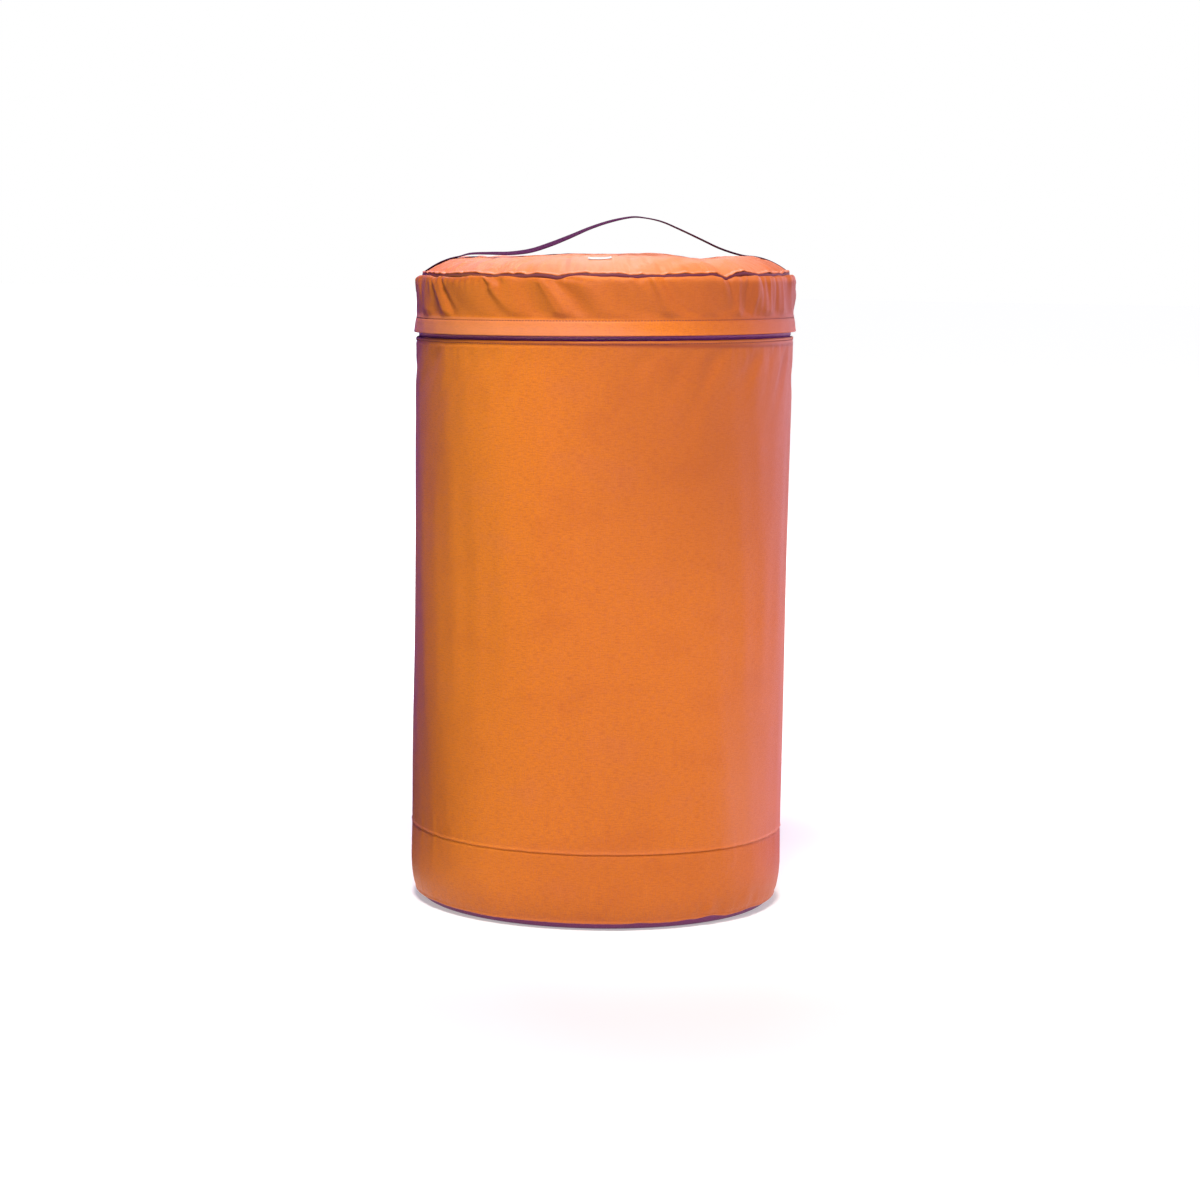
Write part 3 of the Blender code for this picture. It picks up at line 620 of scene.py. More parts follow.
def stitch_shape():
    """A thread that rises out of the cloth and goes down again, as five rings of six points."""
    shape = []
    for x, size in ((-1.0, 0.35), (-0.72, 0.85), (0.0, 1.0), (0.72, 0.85), (1.0, 0.35)):
        for k in range(6):
            a = 2 * math.pi * k / 6
            lift = 0.55 * (1 - x * x)
            shape.append((x * STITCH_LENGTH / 2, THREAD_RADIUS * size * math.cos(a),
                          THREAD_RADIUS * (size * math.sin(a) + lift - 0.2)))
    return np.array(shape)


def stitches(name, points, normals, closed=True):
    """A row of raised thread stitches along points on a surface."""
    if closed:
        points = np.concatenate([points, points[:1]])
        normals = np.concatenate([normals, normals[:1]])
    along = lengths_along(points)
    count = int(along[-1] / STITCH_PITCH)
    middles = (np.arange(count) + 0.5) * along[-1] / count

    def at(s, table):
        return np.stack([np.interp(s, along, table[:, k]) for k in range(3)], -1)

    forward = at(middles + STITCH_LENGTH / 2, points) - at(middles - STITCH_LENGTH / 2, points)
    forward /= np.linalg.norm(forward, axis=1, keepdims=True)
    side = np.cross(forward, at(middles, normals))
    side /= np.linalg.norm(side, axis=1, keepdims=True)
    vertices, faces = copies(stitch_shape(), tube_faces(5, 6), at(middles, points), forward, side,
                             np.cross(side, forward))
    made = mesh_object(name, vertices.reshape(-1, 3), faces)
    made.data.shade_smooth()
    return made


def ring_path(r, z, relief):
    """Points and outward normals round the bag on a displaced surface."""
    angles = angles_round(1440)
    out, up = relief(angles, np.full(len(angles), r), np.full(len(angles), z))
    points = round_place(angles, r + out, z + up)
    return points, outward(angles)


# How each cloth stands out from its plain shape

def cover_relief(angle, r, z):
    """The cover's cloth, tight over the foam, with puckers and dents near its seams."""
    calm = 0.25 + 0.75 * eased((SLEEVE_TOP - z) / 0.05) * eased(z / 0.06)
    near_top = hill(z, SLEEVE_TOP, 0.030) * eased((SLEEVE_TOP - 0.004 - z) / 0.012)
    near_band = hill(z, BAND_HEIGHT, 0.020)
    out = (rippled(angle, z, SLACK) + rippled(angle, z, CREEP)) * calm
    out = out + rippled(angle, z, PUCKER) * (0.7 * near_top + 0.45 * near_band)
    gathered = hill(z, SLEEVE_TOP, 0.075) * eased((SLEEVE_TOP - 0.007 - z) / 0.022)
    out = out + np.minimum(rippled(angle, z, GATHERS) - 0.0006, 0) * gathered
    return out, rippled(angle, 0.0, CREEP) * 0.6 * eased(z / 0.05)


def band_relief(angle, r, z):
    """The band follows the cover, and puckers where it turns in under the bag."""
    out, up = cover_relief(angle, r, z)
    low = hill(z, 0.0, 0.022)
    level = rippled(angle, 0.0, PUCKER)
    out = out + rippled(angle, z, PUCKER) * 0.9 * low * eased(z / 0.02)
    out = out * eased((z - 0.004) / 0.02) + level * 0.6 * low
    return out + foot_folds(angle, z), up + 0.5 * level * low + foot_lift(angle) * low


def base_relief(angle, r, z):
    """The base's turned-up rim follows the band, and its flat part stays on the ground."""
    out, up = band_relief(angle, r, np.maximum(z, 0.0))
    keep = eased((z - 0.0005) / 0.008)
    return out * keep, up * keep * 0.5


def seam_relief(angle, r, z):
    """The back seam moves in and out with the cover, and keeps its length."""
    out, up = cover_relief(angle, r, z)
    return out, up * 0


def wall_relief(angle, r, z):
    """The lid's wall: folds that hang from the rim and die out at the hem's stitching."""
    furthest_out, furthest_in = 0.0040, -0.0036
    rise_start, pucker_start, gape_start = 0.825, 0.845, 0.856
    free = eased((z - STITCH_HEIGHT - 0.001) / 0.012)
    under_rim = eased((z - pucker_start) / 0.020)
    near_hem = 0.5 * hill(z, STITCH_HEIGHT, 0.010) * free
    out = (fold_relief(angle, z) + rippled(angle, z, LID_SLACK)) * free
    out = out + rippled(angle, z, PUCKER) * (0.9 * under_rim + near_hem)
    out = out + rippled(angle, 0.0, CREEP) * 0.8 * eased((STITCH_HEIGHT - z) / 0.010)
    out = np.maximum(np.minimum(out, furthest_out), furthest_in)
    out = out - 0.0006 * hill(z, STITCH_HEIGHT, 0.0007)
    up = rim_rise(angle) * eased((z - rise_start) / (RIM_HEIGHT - rise_start))
    return out, up - crease_opening(angle) * eased((z - gape_start) / 0.009)


def top_relief(angle, r, z):
    """The lid's top: nearly flat, with two shallow dips across the strap, and pulled into short
    creases where it meets the rim."""
    crease_start, edge_start, pucker_start = 0.10, 0.150, 0.205
    edge = eased((r - edge_start) / (RIM_RADIUS - edge_start))
    near = eased((r - pucker_start) / 0.035)
    flat = 1 - edge
    x = r * np.cos(angle)
    y = r * np.sin(angle)
    beside_tab = 1 - np.exp(-((x - TAB_MIDDLE[0]) ** 2 + (y - TAB_MIDDLE[1]) ** 2) / 0.028 ** 2)
    up = rim_rise(angle) * edge
    up = up + rippled(angle, 3 * r, PUCKER) * 1.3 * near * (1 - 0.4 * edge)
    up = up + rippled(angle, 2 * r, LID_SLACK) * 0.6 * eased(r / 0.06) * (1 - edge * 0.6) * beside_tab
    up = up - 0.0052 * hill(x, 0.128, 0.036) * flat
    up = up - 0.0034 * hill(x, -0.150, 0.062) * flat
    up = up + 0.0008 * np.cos(31 * y + 9 * x) * flat
    creases = 0.0007 * rippled(angle, 9 * r, TOP_CREASE) / CREASE_SIZE
    return still(angle, r, r)[0], up + creases * eased((r - crease_start) / 0.05) * beside_tab


def in_crease(angle, r, z):
    """The rim's binding rides up and down with the seam that it lines."""
    return 0 * angle, rim_rise(angle)


# Node materials

def fill(node, values):
    """Sets a node's inputs, each to a plain value or from a socket."""
    for key, value in values.items():
        socket = node.inputs[key]
        if isinstance(value, bpy.types.NodeSocket):
            node.id_data.links.new(value, socket)
        elif socket.type == "RGBA":
            socket.default_value = (*value, 1)
        else:
            socket.default_value = value


def add_node(tree, kind, values=(), **settings):
    node = tree.nodes.new(kind)
    for key, value in settings.items():
        setattr(node, key, value)
    fill(node, dict(values))
    return node


def node_material(name, roughness, metallic=0.0, specular=0.5):
    made = bpy.data.materials.new(name)
    made.use_nodes = True
    shader = made.node_tree.nodes["Principled BSDF"]
    fill(shader, {"Roughness": roughness, "Metallic": metallic, "Specular IOR Level": specular})
    return made, made.node_tree, shader


def mix_colours(tree, share, first, second):
    """Mixes two colours, each a socket or a plain colour, by a share socket."""
    node = add_node(tree, "ShaderNodeMix", {"Factor": share}, data_type="RGBA")
    colour_a, colour_b = [i for i, socket in enumerate(node.inputs) if socket.type == "RGBA"]
    fill(node, {colour_a: first, colour_b: second})
    return [socket for socket in node.outputs if socket.type == "RGBA"][0]


def split(tree, vector):
    """The X, Y and Z of a vector socket."""
    return add_node(tree, "ShaderNodeSeparateXYZ", {0: vector}).outputs


def mesh_value(tree, name):
    """A value that is kept on the mesh's points."""
    return add_node(tree, "ShaderNodeAttribute", attribute_name=name).outputs["Fac"]


def metres_map(tree):
    return add_node(tree, "ShaderNodeUVMap", uv_map="metres").outputs["UV"]


def object_place(tree):
    return add_node(tree, "ShaderNodeTexCoord").outputs["Object"]


def maths(tree, operation, *values):
    return add_node(tree, "ShaderNodeMath", dict(enumerate(values)), operation=operation).outputs[0]


def noise_at(tree, place, scale, detail=3.0, roughness=0.55):
    values = {"Vector": place, "Scale": scale, "Detail": detail, "Roughness": roughness}
    return add_node(tree, "ShaderNodeTexNoise", values).outputs["Fac"]


def stretched_noise(tree, uv, across, down, detail, roughness):
    """Noise with so many spots to the metre across and down the cloth."""
    place = add_node(tree, "ShaderNodeMapping", {"Vector": uv, "Scale": (across, down, 1)})
    return noise_at(tree, place.outputs["Vector"], 1.0, detail, roughness)


def spread(tree, value, low, high):
    """From 0 to 1 while a value goes from low to high."""
    values = {"Value": value, "From Min": low, "From Max": high}
    return add_node(tree, "ShaderNodeMapRange", values).outputs["Result"]


def eased_range(tree, value, low, high, start, end):
    """A smooth way from start to end while a value goes from low to high."""
    values = {"Value": value, "From Min": low, "From Max": high, "To Min": start, "To Max": end}
    return add_node(tree, "ShaderNodeMapRange", values, interpolation_type="SMOOTHSTEP").outputs["Result"]


def overlay(tree, colour, mask, low, high, share, tint):
    """Lays a tint over a colour where a mask goes from low to high, by a share of it."""
    return mix_colours(tree, maths(tree, "MULTIPLY", spread(tree, mask, low, high), share), colour, tint)


def threads(tree, value, pitch):
    """A wave with one crown for every pitch."""
    return maths(tree, "SINE", maths(tree, "MULTIPLY", value, 2 * math.pi / pitch))


def add_bump(tree, shader, height, distance, strength):
    """Adds relief on top of the relief that the shader has."""
    values = {"Height": height, "Distance": distance, "Strength": strength}
    bump = add_node(tree, "ShaderNodeBump", values)
    for link in shader.inputs["Normal"].links:
        fill(bump, {"Normal": link.from_socket})
    fill(shader, {"Normal": bump.outputs["Normal"]})


def coated_cloth(name, base, dark, light, warm, painted_light, painted_shade, sheen, scuff):
    """Woven cloth under a thin vinyl coat: thread relief, streaks, mottling and rubbed edges, with painted
    light and shade mixed into its colour by values kept on the mesh.
    """
    made, tree, shader = node_material(name, 0.52, specular=0.24)
    uv = metres_map(tree)
    painted_shading = mesh_value(tree, "painted_shading")
    streak = stretched_noise(tree, uv, 620, 110, 3.0, 0.70)
    cross = stretched_noise(tree, uv, 110, 620, 3.0, 0.70)
    cloud = stretched_noise(tree, uv, 6, 4, 4.0, 0.55)
    drift = stretched_noise(tree, uv, 9, 14, 5.0, 0.6)
    grain = noise_at(tree, uv, 560, 3.0, 0.6)
    uneven = maths(tree, "MULTIPLY_ADD", spread(tree, cloud, 0.25, 0.75), 0.5, 0.75)
    colour = mix_colours(tree, spread(tree, cloud, 0.30, 0.70), dark, base)
    # Painted light: the warm colour, brighter than the base, laid on where the front-left side is lit.
    colour = mix_colours(tree, mesh_value(tree, "painted_warm_light"), colour, warm)
    # Random drift, streaks and grain. Then painted light (the pale colour) where the mesh's painted shading
    # value rises above its middle, and painted shade (the deep colour) where it falls below.
    for mask, low, high, share, tint in (
            (drift, 0.55, 0.75, 0.40, light), (drift, 0.48, 0.25, 0.26, dark),
            (streak, 0.44, 0.70, 0.58, light), (cross, 0.46, 0.72, 0.50, dark),
            (grain, 0.38, 0.68, 0.30, dark),
            (painted_shading, 0.5, 1.0, uneven, painted_light), (painted_shading, 0.5, 0.0, uneven, painted_shade)):
        colour = overlay(tree, colour, mask, low, high, share, tint)
    rub = maths(tree, "MULTIPLY", mesh_value(tree, "wear"), spread(tree, cloud, 0.25, 0.6))
    colour = mix_colours(tree, maths(tree, "MULTIPLY", rub, 0.45), colour, light)
    smear = maths(tree, "MULTIPLY", mesh_value(tree, "dirt"), spread(tree, streak, 0.30, 0.75))
    colour = mix_colours(tree, maths(tree, "MULTIPLY", smear, scuff), colour, (0.16, 0.045, 0.03))
    rough = maths(tree, "MULTIPLY_ADD", spread(tree, cloud, 0.2, 0.8), 0.14, 0.44)
    fill(shader, {"Base Color": colour, "Roughness": maths(tree, "MULTIPLY_ADD", rub, -0.08, rough),
                  "Sheen Weight": 0.07, "Sheen Roughness": 0.4, "Sheen Tint": sheen})
    parts = split(tree, uv)
    weave = maths(tree, "MULTIPLY", threads(tree, parts["X"], 0.0011), threads(tree, parts["Y"], 0.0011))
    add_bump(tree, shader, streak, distance=0.0007, strength=0.35)
    add_bump(tree, shader, weave, distance=0.00010, strength=0.55)
    return made


def webbing_cloth(name, base, light, pitch=0.0016):
    """Ribbed webbing: a herringbone of threads with paler crowns."""
    made, tree, shader = node_material(name, roughness=0.80, specular=0.08)
    uv = metres_map(tree)
    parts = split(tree, uv)
    slant = maths(tree, "PINGPONG", parts["Y"], 0.0048)
    rib = threads(tree, maths(tree, "ADD", parts["X"], slant), pitch)
    cord = threads(tree, parts["Y"], pitch * 0.75)
    height = maths(tree, "ADD", rib, maths(tree, "MULTIPLY", cord, 0.6))
    fuzz = noise_at(tree, uv, 700)
    colour = overlay(tree, base, height, -0.8, 1.4, spread(tree, fuzz, 0.2, 0.9), light)
    fill(shader, {"Base Color": colour, "Sheen Weight": 0.02, "Sheen Roughness": 0.5,
                  "Sheen Tint": (0.75, 0.35, 0.85)})
    add_bump(tree, shader, height, distance=0.00025, strength=0.7)
    return made


def thread_material(name, base, light):
    made, tree, shader = node_material(name, roughness=0.6, specular=0.35)
    twist = noise_at(tree, object_place(tree), 1800, 2.0)
    fill(shader, {"Base Color": mix_colours(tree, spread(tree, twist, 0.3, 0.7), base, light)})
    add_bump(tree, shader, twist, distance=0.00015, strength=0.6)
    return made


def metal_material(name, base, rubbed):
    """Dark enamelled die casting, rubbed bright in patches."""
    made, tree, shader = node_material(name, roughness=0.36, metallic=0.85)
    place = object_place(tree)
    speck = noise_at(tree, place, 2600)
    patch = noise_at(tree, place, 260, 4.0)
    fill(shader, {"Base Color": mix_colours(tree, spread(tree, patch, 0.50, 0.72), base, rubbed),
                  "Roughness": maths(tree, "MULTIPLY_ADD", spread(tree, patch, 0.3, 0.8), 0.25, 0.28)})
    add_bump(tree, shader, speck, distance=0.00006, strength=0.5)
    return made


def plastic_material(name, base, light, roughness):
    made, tree, shader = node_material(name, roughness)
    patch = noise_at(tree, object_place(tree), 400)
    fill(shader, {"Base Color": mix_colours(tree, spread(tree, patch, 0.35, 0.75), base, light)})
    add_bump(tree, shader, patch, distance=0.00008, strength=0.4)
    return made


def foam_material(name, base, dark, cell):
    """Cut foam: open cells as small pits, painted with shade in them, and a slow yellowing."""
    made, tree, shader = node_material(name, roughness=0.95, specular=0.15)
    place = object_place(tree)
    cells = add_node(tree, "ShaderNodeTexVoronoi", {"Vector": place, "Scale": 1 / cell})
    pit = spread(tree, cells.outputs["Distance"], 0.10, 0.65)
    age = noise_at(tree, place, 9, 4.0)
    colour = mix_colours(tree, spread(tree, age, 0.3, 0.7), base, dark)
    shade = maths(tree, "MULTIPLY", maths(tree, "SUBTRACT", 1.0, pit), 0.5)
    fill(shader, {"Base Color": mix_colours(tree, shade, colour, dark), "Sheen Weight": 0.2,
                  "Sheen Tint": (1, 0.95, 0.8)})
    add_bump(tree, shader, pit, distance=0.0012, strength=0.6)
    return made


# How worn and dirty the cloth is, and the light and shade painted into its colour

def nowhere(r, z):
    return 0 * z


# No painted light or shade: the middle value everywhere.
def no_painted_shading(r, z, side):
    return 0.5 + 0 * r


def paint_wear(piece, wear=nowhere, dirt=nowhere, painted_shading=no_painted_shading):
    """Wear and dirt by height and radius. Painted light that turns the orange from yellower and brighter at
    the front left to redder round the bag. Painted light and shade by height and side. All are kept on the
    mesh's points."""
    mesh = piece.data
    co = np.zeros(len(mesh.vertices) * 3, np.float32)
    mesh.vertices.foreach_get("co", co)
    x, y, z = co.reshape(-1, 3).T
    r = np.hypot(x, y)
    angle = np.arctan2(y, x)
    # Painted light: the front-left side, where the light falls, is painted warmer and brighter.
    painted_light_side = math.radians(38)
    painted_warm_light = 0.75 * eased(0.5 + 0.62 * np.cos(angle - FRONT + painted_light_side)) * np.clip(r / 0.15, 0, 1)
    for name, values in (("wear", wear(r, z)), ("dirt", dirt(r, z)), ("painted_warm_light", painted_warm_light),
                         ("painted_shading", painted_shading(r, z, front_degrees(angle)))):
        layer = mesh.attributes.new(name, "FLOAT", "POINT")
        layer.data.foreach_set("value", np.clip(values, 0, 1).astype(np.float32))


def sleeve_painted_shading(r, z, side):
    """Painted shade in the top stitching, high on the right and a little in the middle of the front, and
    painted light low on the right.
    """
    right = eased((side + 25) / 60) * (1 - eased((side - 100) / 60))
    far_right = eased((side - 30) / 25) * (1 - eased((side - 100) / 60))
    stitch_line_shade = hill(z, STITCH_TOP - 0.0008, 0.0026)
    high = 0.18 * eased((z - 0.36) / 0.32) * right
    low = 0.11 * (1 - eased((z - 0.10) / 0.35)) * far_right
    return 0.5 - 0.32 * stitch_line_shade - high + low - 0.08 * hill(side, 8, 24)


def band_painted_shade(r, z, side):
    """Painted shade: a little deeper in the middle of the front."""
    return 0.5 - 0.13 * hill(side, 5, 45)


def wall_painted_shading(r, z, side):
    """Painted light and shade: the wall above the hem is painted deeper than the hem, and the hem is painted
    palest left of the front and deeper to the right.
    """
    above = eased((z - 0.808) / 0.006) * (1 - eased((z - 0.860) / 0.008))
    right = eased((side + 12) / 50) * (1 - eased((side - 90) / 60))
    low = eased((0.806 - z) / 0.016)
    swing = 0.14 * np.cos(np.radians(side + 30))
    return 0.5 + swing - 0.31 * above + (0.07 * low - 0.20 * right) * (1 - above)


def top_painted_light(r, z, side):
    """Painted light: paler than the sleeve, in slow patches, as the top catches the light from above."""
    return 0.64 + 0.06 * np.cos(np.radians(3 * side + 20)) + 0.08 * np.cos(np.radians(7 * side)) * r / 0.25


def dress(piece, body, paint, slot, *nodes):
    """Gives a piece its material, the body it rides on, and hides the nodes it stands for. The slot is not
    used.
    """
    piece.data.materials.append(paint)
    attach(piece, body)
    if nodes:
        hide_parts(*nodes)


# The cover

def make_sleeve(paint, thread):
    top = [(BODY_RADIUS + out, z) for out, z in (
        (-0.0004, 0.7830), (0.0002, 0.7822), (0.0003, 0.7808), (-0.0006, STITCH_TOP), (-0.0005, 0.7778),
        (0.0001, 0.7745), (-0.0001, 0.770))]
    wall = [(BODY_RADIUS - TAPER * (0.770 - z) / 0.665, z) for z in np.linspace(0.765, 0.112, 150)]
    foot = [(FOOT_RADIUS + out, z) for out, z in (
        (0, 0.1095), (-0.0001, 0.1078), (0.0005, 0.1060), (0.0008, 0.1050), (0.0005, 0.1043))]
    piece = cloth_ring("cover_sleeve", finer(top, 0.002).tolist() + wall + foot, CLOTH, cover_relief)
    paint_wear(piece, lambda r, z: hill(z, SLEEVE_TOP, 0.006) + 0.8 * hill(z, BAND_HEIGHT, 0.006),
               lambda r, z: 0.35 * np.exp(-(z - BAND_HEIGHT) / 0.10), sleeve_painted_shading)
    dress(piece, "cover", paint, "orange_coated_cloth", "sleeve")
    inside = BODY_RADIUS - CLOTH - 0.0001
    turning = finer([(inside, SLEEVE_TOP - 0.0008), (inside, 0.770)], 0.004)
    turned_in = cloth_ring("cover_sleeve_turning", turning, CLOTH * 0.8, cover_relief)
    paint_wear(turned_in)
    dress(turned_in, "cover", paint, "orange_coated_cloth")
    points, normals = ring_path(BODY_RADIUS, STITCH_TOP, cover_relief)
    dress(stitches("cover_top_stitching", points, normals), "cover", thread, "plum_zip_tape")


def make_band(paint):
    line = ((0.2564, 0.1190), (0.2564, 0.1045), (0.25755, 0.1015), (0.2579, 0.0980), (0.2585, 0.0750),
            (0.2589, 0.0545), (0.2583, 0.0400), (0.2568, 0.0290), (0.2547, 0.0195), (0.2529, 0.0150),
            (0.2522, 0.0132), (0.2526, 0.0120), (0.2524, 0.0106), (0.2512, 0.0097), (0.2499, 0.0093))
    piece = cloth_ring("cover_band", finer(line, 0.003), 0.0013, band_relief)
    paint_wear(piece, lambda r, z: hill(z, 0.010, 0.006), lambda r, z: np.exp(-z / 0.035), band_painted_shade)
    dress(piece, "cover", paint, "orange_coated_cloth", "base_band")


def make_base(paint):
    line = ((0.2535, 0.0262), (0.2520, 0.0200), (0.2498, 0.0150), (0.2476, 0.0092), (0.2452, 0.0055),
            (0.2412, 0.0022), (0.2362, 0.0003), (0.228, 0.0), (0.20, 0.0), (0.12, 0.0), (0.0, 0.0))
    piece = base_disc("cover_base", finer(line, 0.004), 0.0015, base_relief)
    paint_wear(piece, lambda r, z: hill(r, 0.236, 0.006), lambda r, z: 0.7 + 0 * z)
    dress(piece, "cover", paint, "plum_coated_cloth", "base_panel")


def base_disc(name, line, thickness, relief):
    """A disc with a turned-up rim: its outer line runs down the rim and in to the axis."""
    line[-1] = (0.0, line[-1, 1])
    inner = line - line_normals(line) * thickness
    inner[-1] = (0.0, line[-1, 1] + thickness)
    angles = angles_round(COLUMNS)
    out, up = relief(angles[None, :], line[:, :1], line[:, 1:])
    top = (line[0] + inner[0]) / 2 + np.array([0, thickness * 0.35])
    section = np.concatenate([inner[::-1], [top], line])
    source = np.concatenate([np.arange(len(line))[::-1], [0], np.arange(len(line))])
    height = np.maximum(section[:, 1:] + up[source], 0.0)
    return turned_block(name, angles, section[:, :1] + out[source], height, section)


def make_back_seam(paint, thread):
    """A lapped join down the back of the sleeve, with two rows of stitching."""
    line = np.array([(BODY_RADIUS - TAPER * (SLEEVE_TOP - z) / 0.679 + 0.0012, z)
                     for z in np.linspace(0.7655, 0.1055, 120)])
    piece = cloth_ring("cover_back_seam", line, 0.0009, seam_relief, 9, math.radians(90), math.radians(96))
    paint_wear(piece, lambda r, z: 0.5 + 0 * z, lambda r, z: 0.3 * np.exp(-(z - BAND_HEIGHT) / 0.1))
    dress(piece, "cover", paint, "orange_coated_cloth", "sleeve_back_seam")
    for name, degrees in (("cover_back_stitching_left", 95.2), ("cover_back_stitching_right", 90.8)):
        angle = np.full(len(line), math.radians(degrees))
        out, _ = seam_relief(angle, line[:, 0], line[:, 1])
        points = round_place(angle, line[:, 0] + out, line[:, 1])
        dress(stitches(name, points, outward(angle), closed=False), "cover", thread, "plum_zip_tape")


def make_hinge_cloth(paint):
    """The strip that joins the lid to the cover at the back, built in its closed shape; the real strip bends
    as the lid opens.
    """
    line = ((0.2589, 0.8060), (0.2594, 0.8020), (0.2604, 0.7950), (0.2611, 0.7902), (0.2612, 0.7840),
            (0.2611, 0.7750), (0.2611, 0.7660))
    piece = cloth_ring("hinge_cloth", finer(line, 0.0012), 0.0008, still, 49, math.radians(72.3),
                       math.radians(107.7))
    paint_wear(piece, lambda r, z: hill(z, FLAP_EDGE, 0.004))
    piece.data.materials.append(paint)
    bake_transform(piece)
    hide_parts("hinge_strip")


# The lid

def make_lid_wall(paint, thread):
    """The lid's wall with its flared flap, the turned-in hem under it, and the hem's stitching."""
    wall = ((0.2499, 0.8652), (0.2514, 0.8668), (0.2530, 0.8676), (0.2546, 0.8678), (0.2563, 0.8671),
            (0.2580, 0.8650), (0.2592, 0.8612), (0.2598, 0.8560), (0.2600, 0.8480), (0.2600, 0.8300),
            (0.2600, 0.8160), (0.2601, 0.8125), (0.2606, 0.8108), (0.2605, STITCH_HEIGHT), (0.2610, 0.8086),
            (0.2618, 0.8040), (0.2626, 0.7975), (0.2633, 0.7920), (0.2635, 0.7908), (0.2632, FLAP_EDGE))
    piece = cloth_ring("lid_side", finer(wall, 0.0016), CLOTH, wall_relief, LID_COLUMNS)
    paint_wear(piece, lambda r, z: hill(z, 0.868, 0.004) + 0.9 * hill(z, FLAP_EDGE, 0.003), painted_shading=wall_painted_shading)
    dress(piece, "lid", paint, "orange_coated_cloth", "lid_wall")
    turning = finer([(0.2597, 0.8105), (0.2605, 0.8050), (0.2616, 0.7975), (0.2621, 0.7912)], 0.003)
    turned_in = cloth_ring("lid_hem_turning", turning, 0.0007, wall_relief, LID_COLUMNS)
    paint_wear(turned_in)
    dress(turned_in, "lid", paint, "orange_coated_cloth")
    points, normals = ring_path(0.2606, STITCH_HEIGHT, wall_relief)
    dress(stitches("lid_hem_stitching", points, normals), "lid", thread, "plum_zip_tape")


def make_lid_top(paint):
    rings = (0.0, 0.03, 0.07, 0.12, 0.16, 0.197, 0.212, 0.226, 0.235, 0.242, 0.247)
    line = [(r, float(lid_surface(r))) for r in rings]
    line += [(0.2500, 0.8728), (0.2516, 0.8726), (0.2526, 0.8721), (0.2529, 0.8714), (0.2522, 0.8706),
             (0.2506, 0.8700)]
    piece = cloth_ring("lid_top", finer(line, 0.0030), CLOTH, top_relief, LID_COLUMNS, disc=True)
    paint_wear(piece, lambda r, z: hill(r, 0.2505, 0.004), painted_shading=top_painted_light)
    dress(piece, "lid", paint, "orange_coated_cloth", "lid_top_panel")


def make_rim_binding(paint):
    """A binding that lines the rim's seam and closes it from inside; its dark colour is painted shade, the
    dark line of the seam's crease.
    """
    line = ((0.2508, 0.8704), (0.2522, 0.8702), (0.2529, 0.8694), (0.2531, 0.8680), (0.2528, 0.8664),
            (0.2522, 0.8650), (0.2515, 0.8628), (0.2509, 0.8602), (0.2507, 0.8590))
    piece = cloth_ring("lid_rim_binding", finer(line, 0.0006), 0.0008, in_crease, LID_COLUMNS)
    dress(piece, "lid", paint, "plum_zip_tape")


def make_label(paint):
    """A short blank tab of woven cloth, sewn down flat near the front of the lid."""
    width, depth, thick = TAB_SIZE
    grid_u, grid_v = np.meshgrid(np.linspace(-1, 1, 25), np.linspace(-1, 1, 9))
    x = TAB_MIDDLE[0] + grid_u * width / 2
    y = TAB_MIDDLE[1] - grid_v * depth / 2
    r = np.hypot(x, y)
    _, up = top_relief(np.arctan2(y, x), r, r)
    z = leaned(x, y, lid_surface(r) + up + 0.0004 + 0.0005 * (grid_u ** 4))
    low = np.stack([x, y, z], -1)
    high = low + np.array([0, 0, thick])
    lines = np.concatenate([grid_v * depth / 2, depth + grid_v * depth / 2])
    uv = np.stack([np.concatenate([grid_u, grid_u[::-1]]) * width / 2, -lines], -1)
    points = np.concatenate([high, low[::-1]])
    piece = grid_object("lid_tab", points, np.concatenate([uv, uv[:1]]), True, False)
    dress(piece, "lid", paint, "white_label_cloth", "lid_label")


# The carry strap

def strap_height(x, y):
    """Height of the strap's underside, as in the solids."""
    share = x / RIM_RADIUS
    rise = LOOP_RISE * smooth_table(share, LOOP_X_SHARES, LOOP_RISE_SHARES)
    twist = STRAP_TWIST * smooth_table(share, LOOP_X_SHARES, LOOP_TWIST_SHARES)
    twist = np.where(twist > 0, 1.6 * twist, 0.25 * twist)
    twist = twist + math.radians(1.8) * hill(share, 0.13, 0.13)
    return lid_surface(np.abs(x)) + 0.0003 + np.maximum(rise, 0) + y * np.tan(twist)


def strap_length(name, first, last):
    """A length of webbing between two places across the bag, with its map in metres."""
    columns, across_count = 150, 17
    x = np.linspace(first, last, columns)
    across = np.concatenate([np.linspace(1, -1, across_count), np.linspace(-1, 1, across_count)])
    face = np.concatenate([np.ones(across_count), np.zeros(across_count)])
    points = np.zeros((len(across), columns, 3))
    for i, (share, side) in enumerate(zip(across, face)):
        y = share * STRAP_WIDTH / 2
        edge = abs(share) ** 12
        thin = STRAP_THICKNESS * (0.5 + (side - 0.5) * (1 - 0.55 * edge))
        z = strap_height(x, y) + thin + 0.0002 * math.cos(share * 19) * (side * 2 - 1)
        z = z + np.where(np.abs(x) > STRAP_BEND, (STRAP_BEND - np.abs(x)) * 1.1, 0)
        points[i] = np.stack([x, np.full(columns, y), leaned(x, y, z)], -1)
    length = np.concatenate([[0], np.cumsum(np.hypot(np.diff(x), np.diff(strap_height(x, 0 * x))))])
    rows = np.concatenate([across, across[:1]]) * STRAP_WIDTH / 2
    rows = np.where(np.append(face, 1) > 0, rows, rows + STRAP_WIDTH * 2)
    uv = np.stack(np.broadcast_arrays(length[None, :], rows[:, None]), -1)
    return grid_object(name, points[::-1], uv[::-1], True, False)


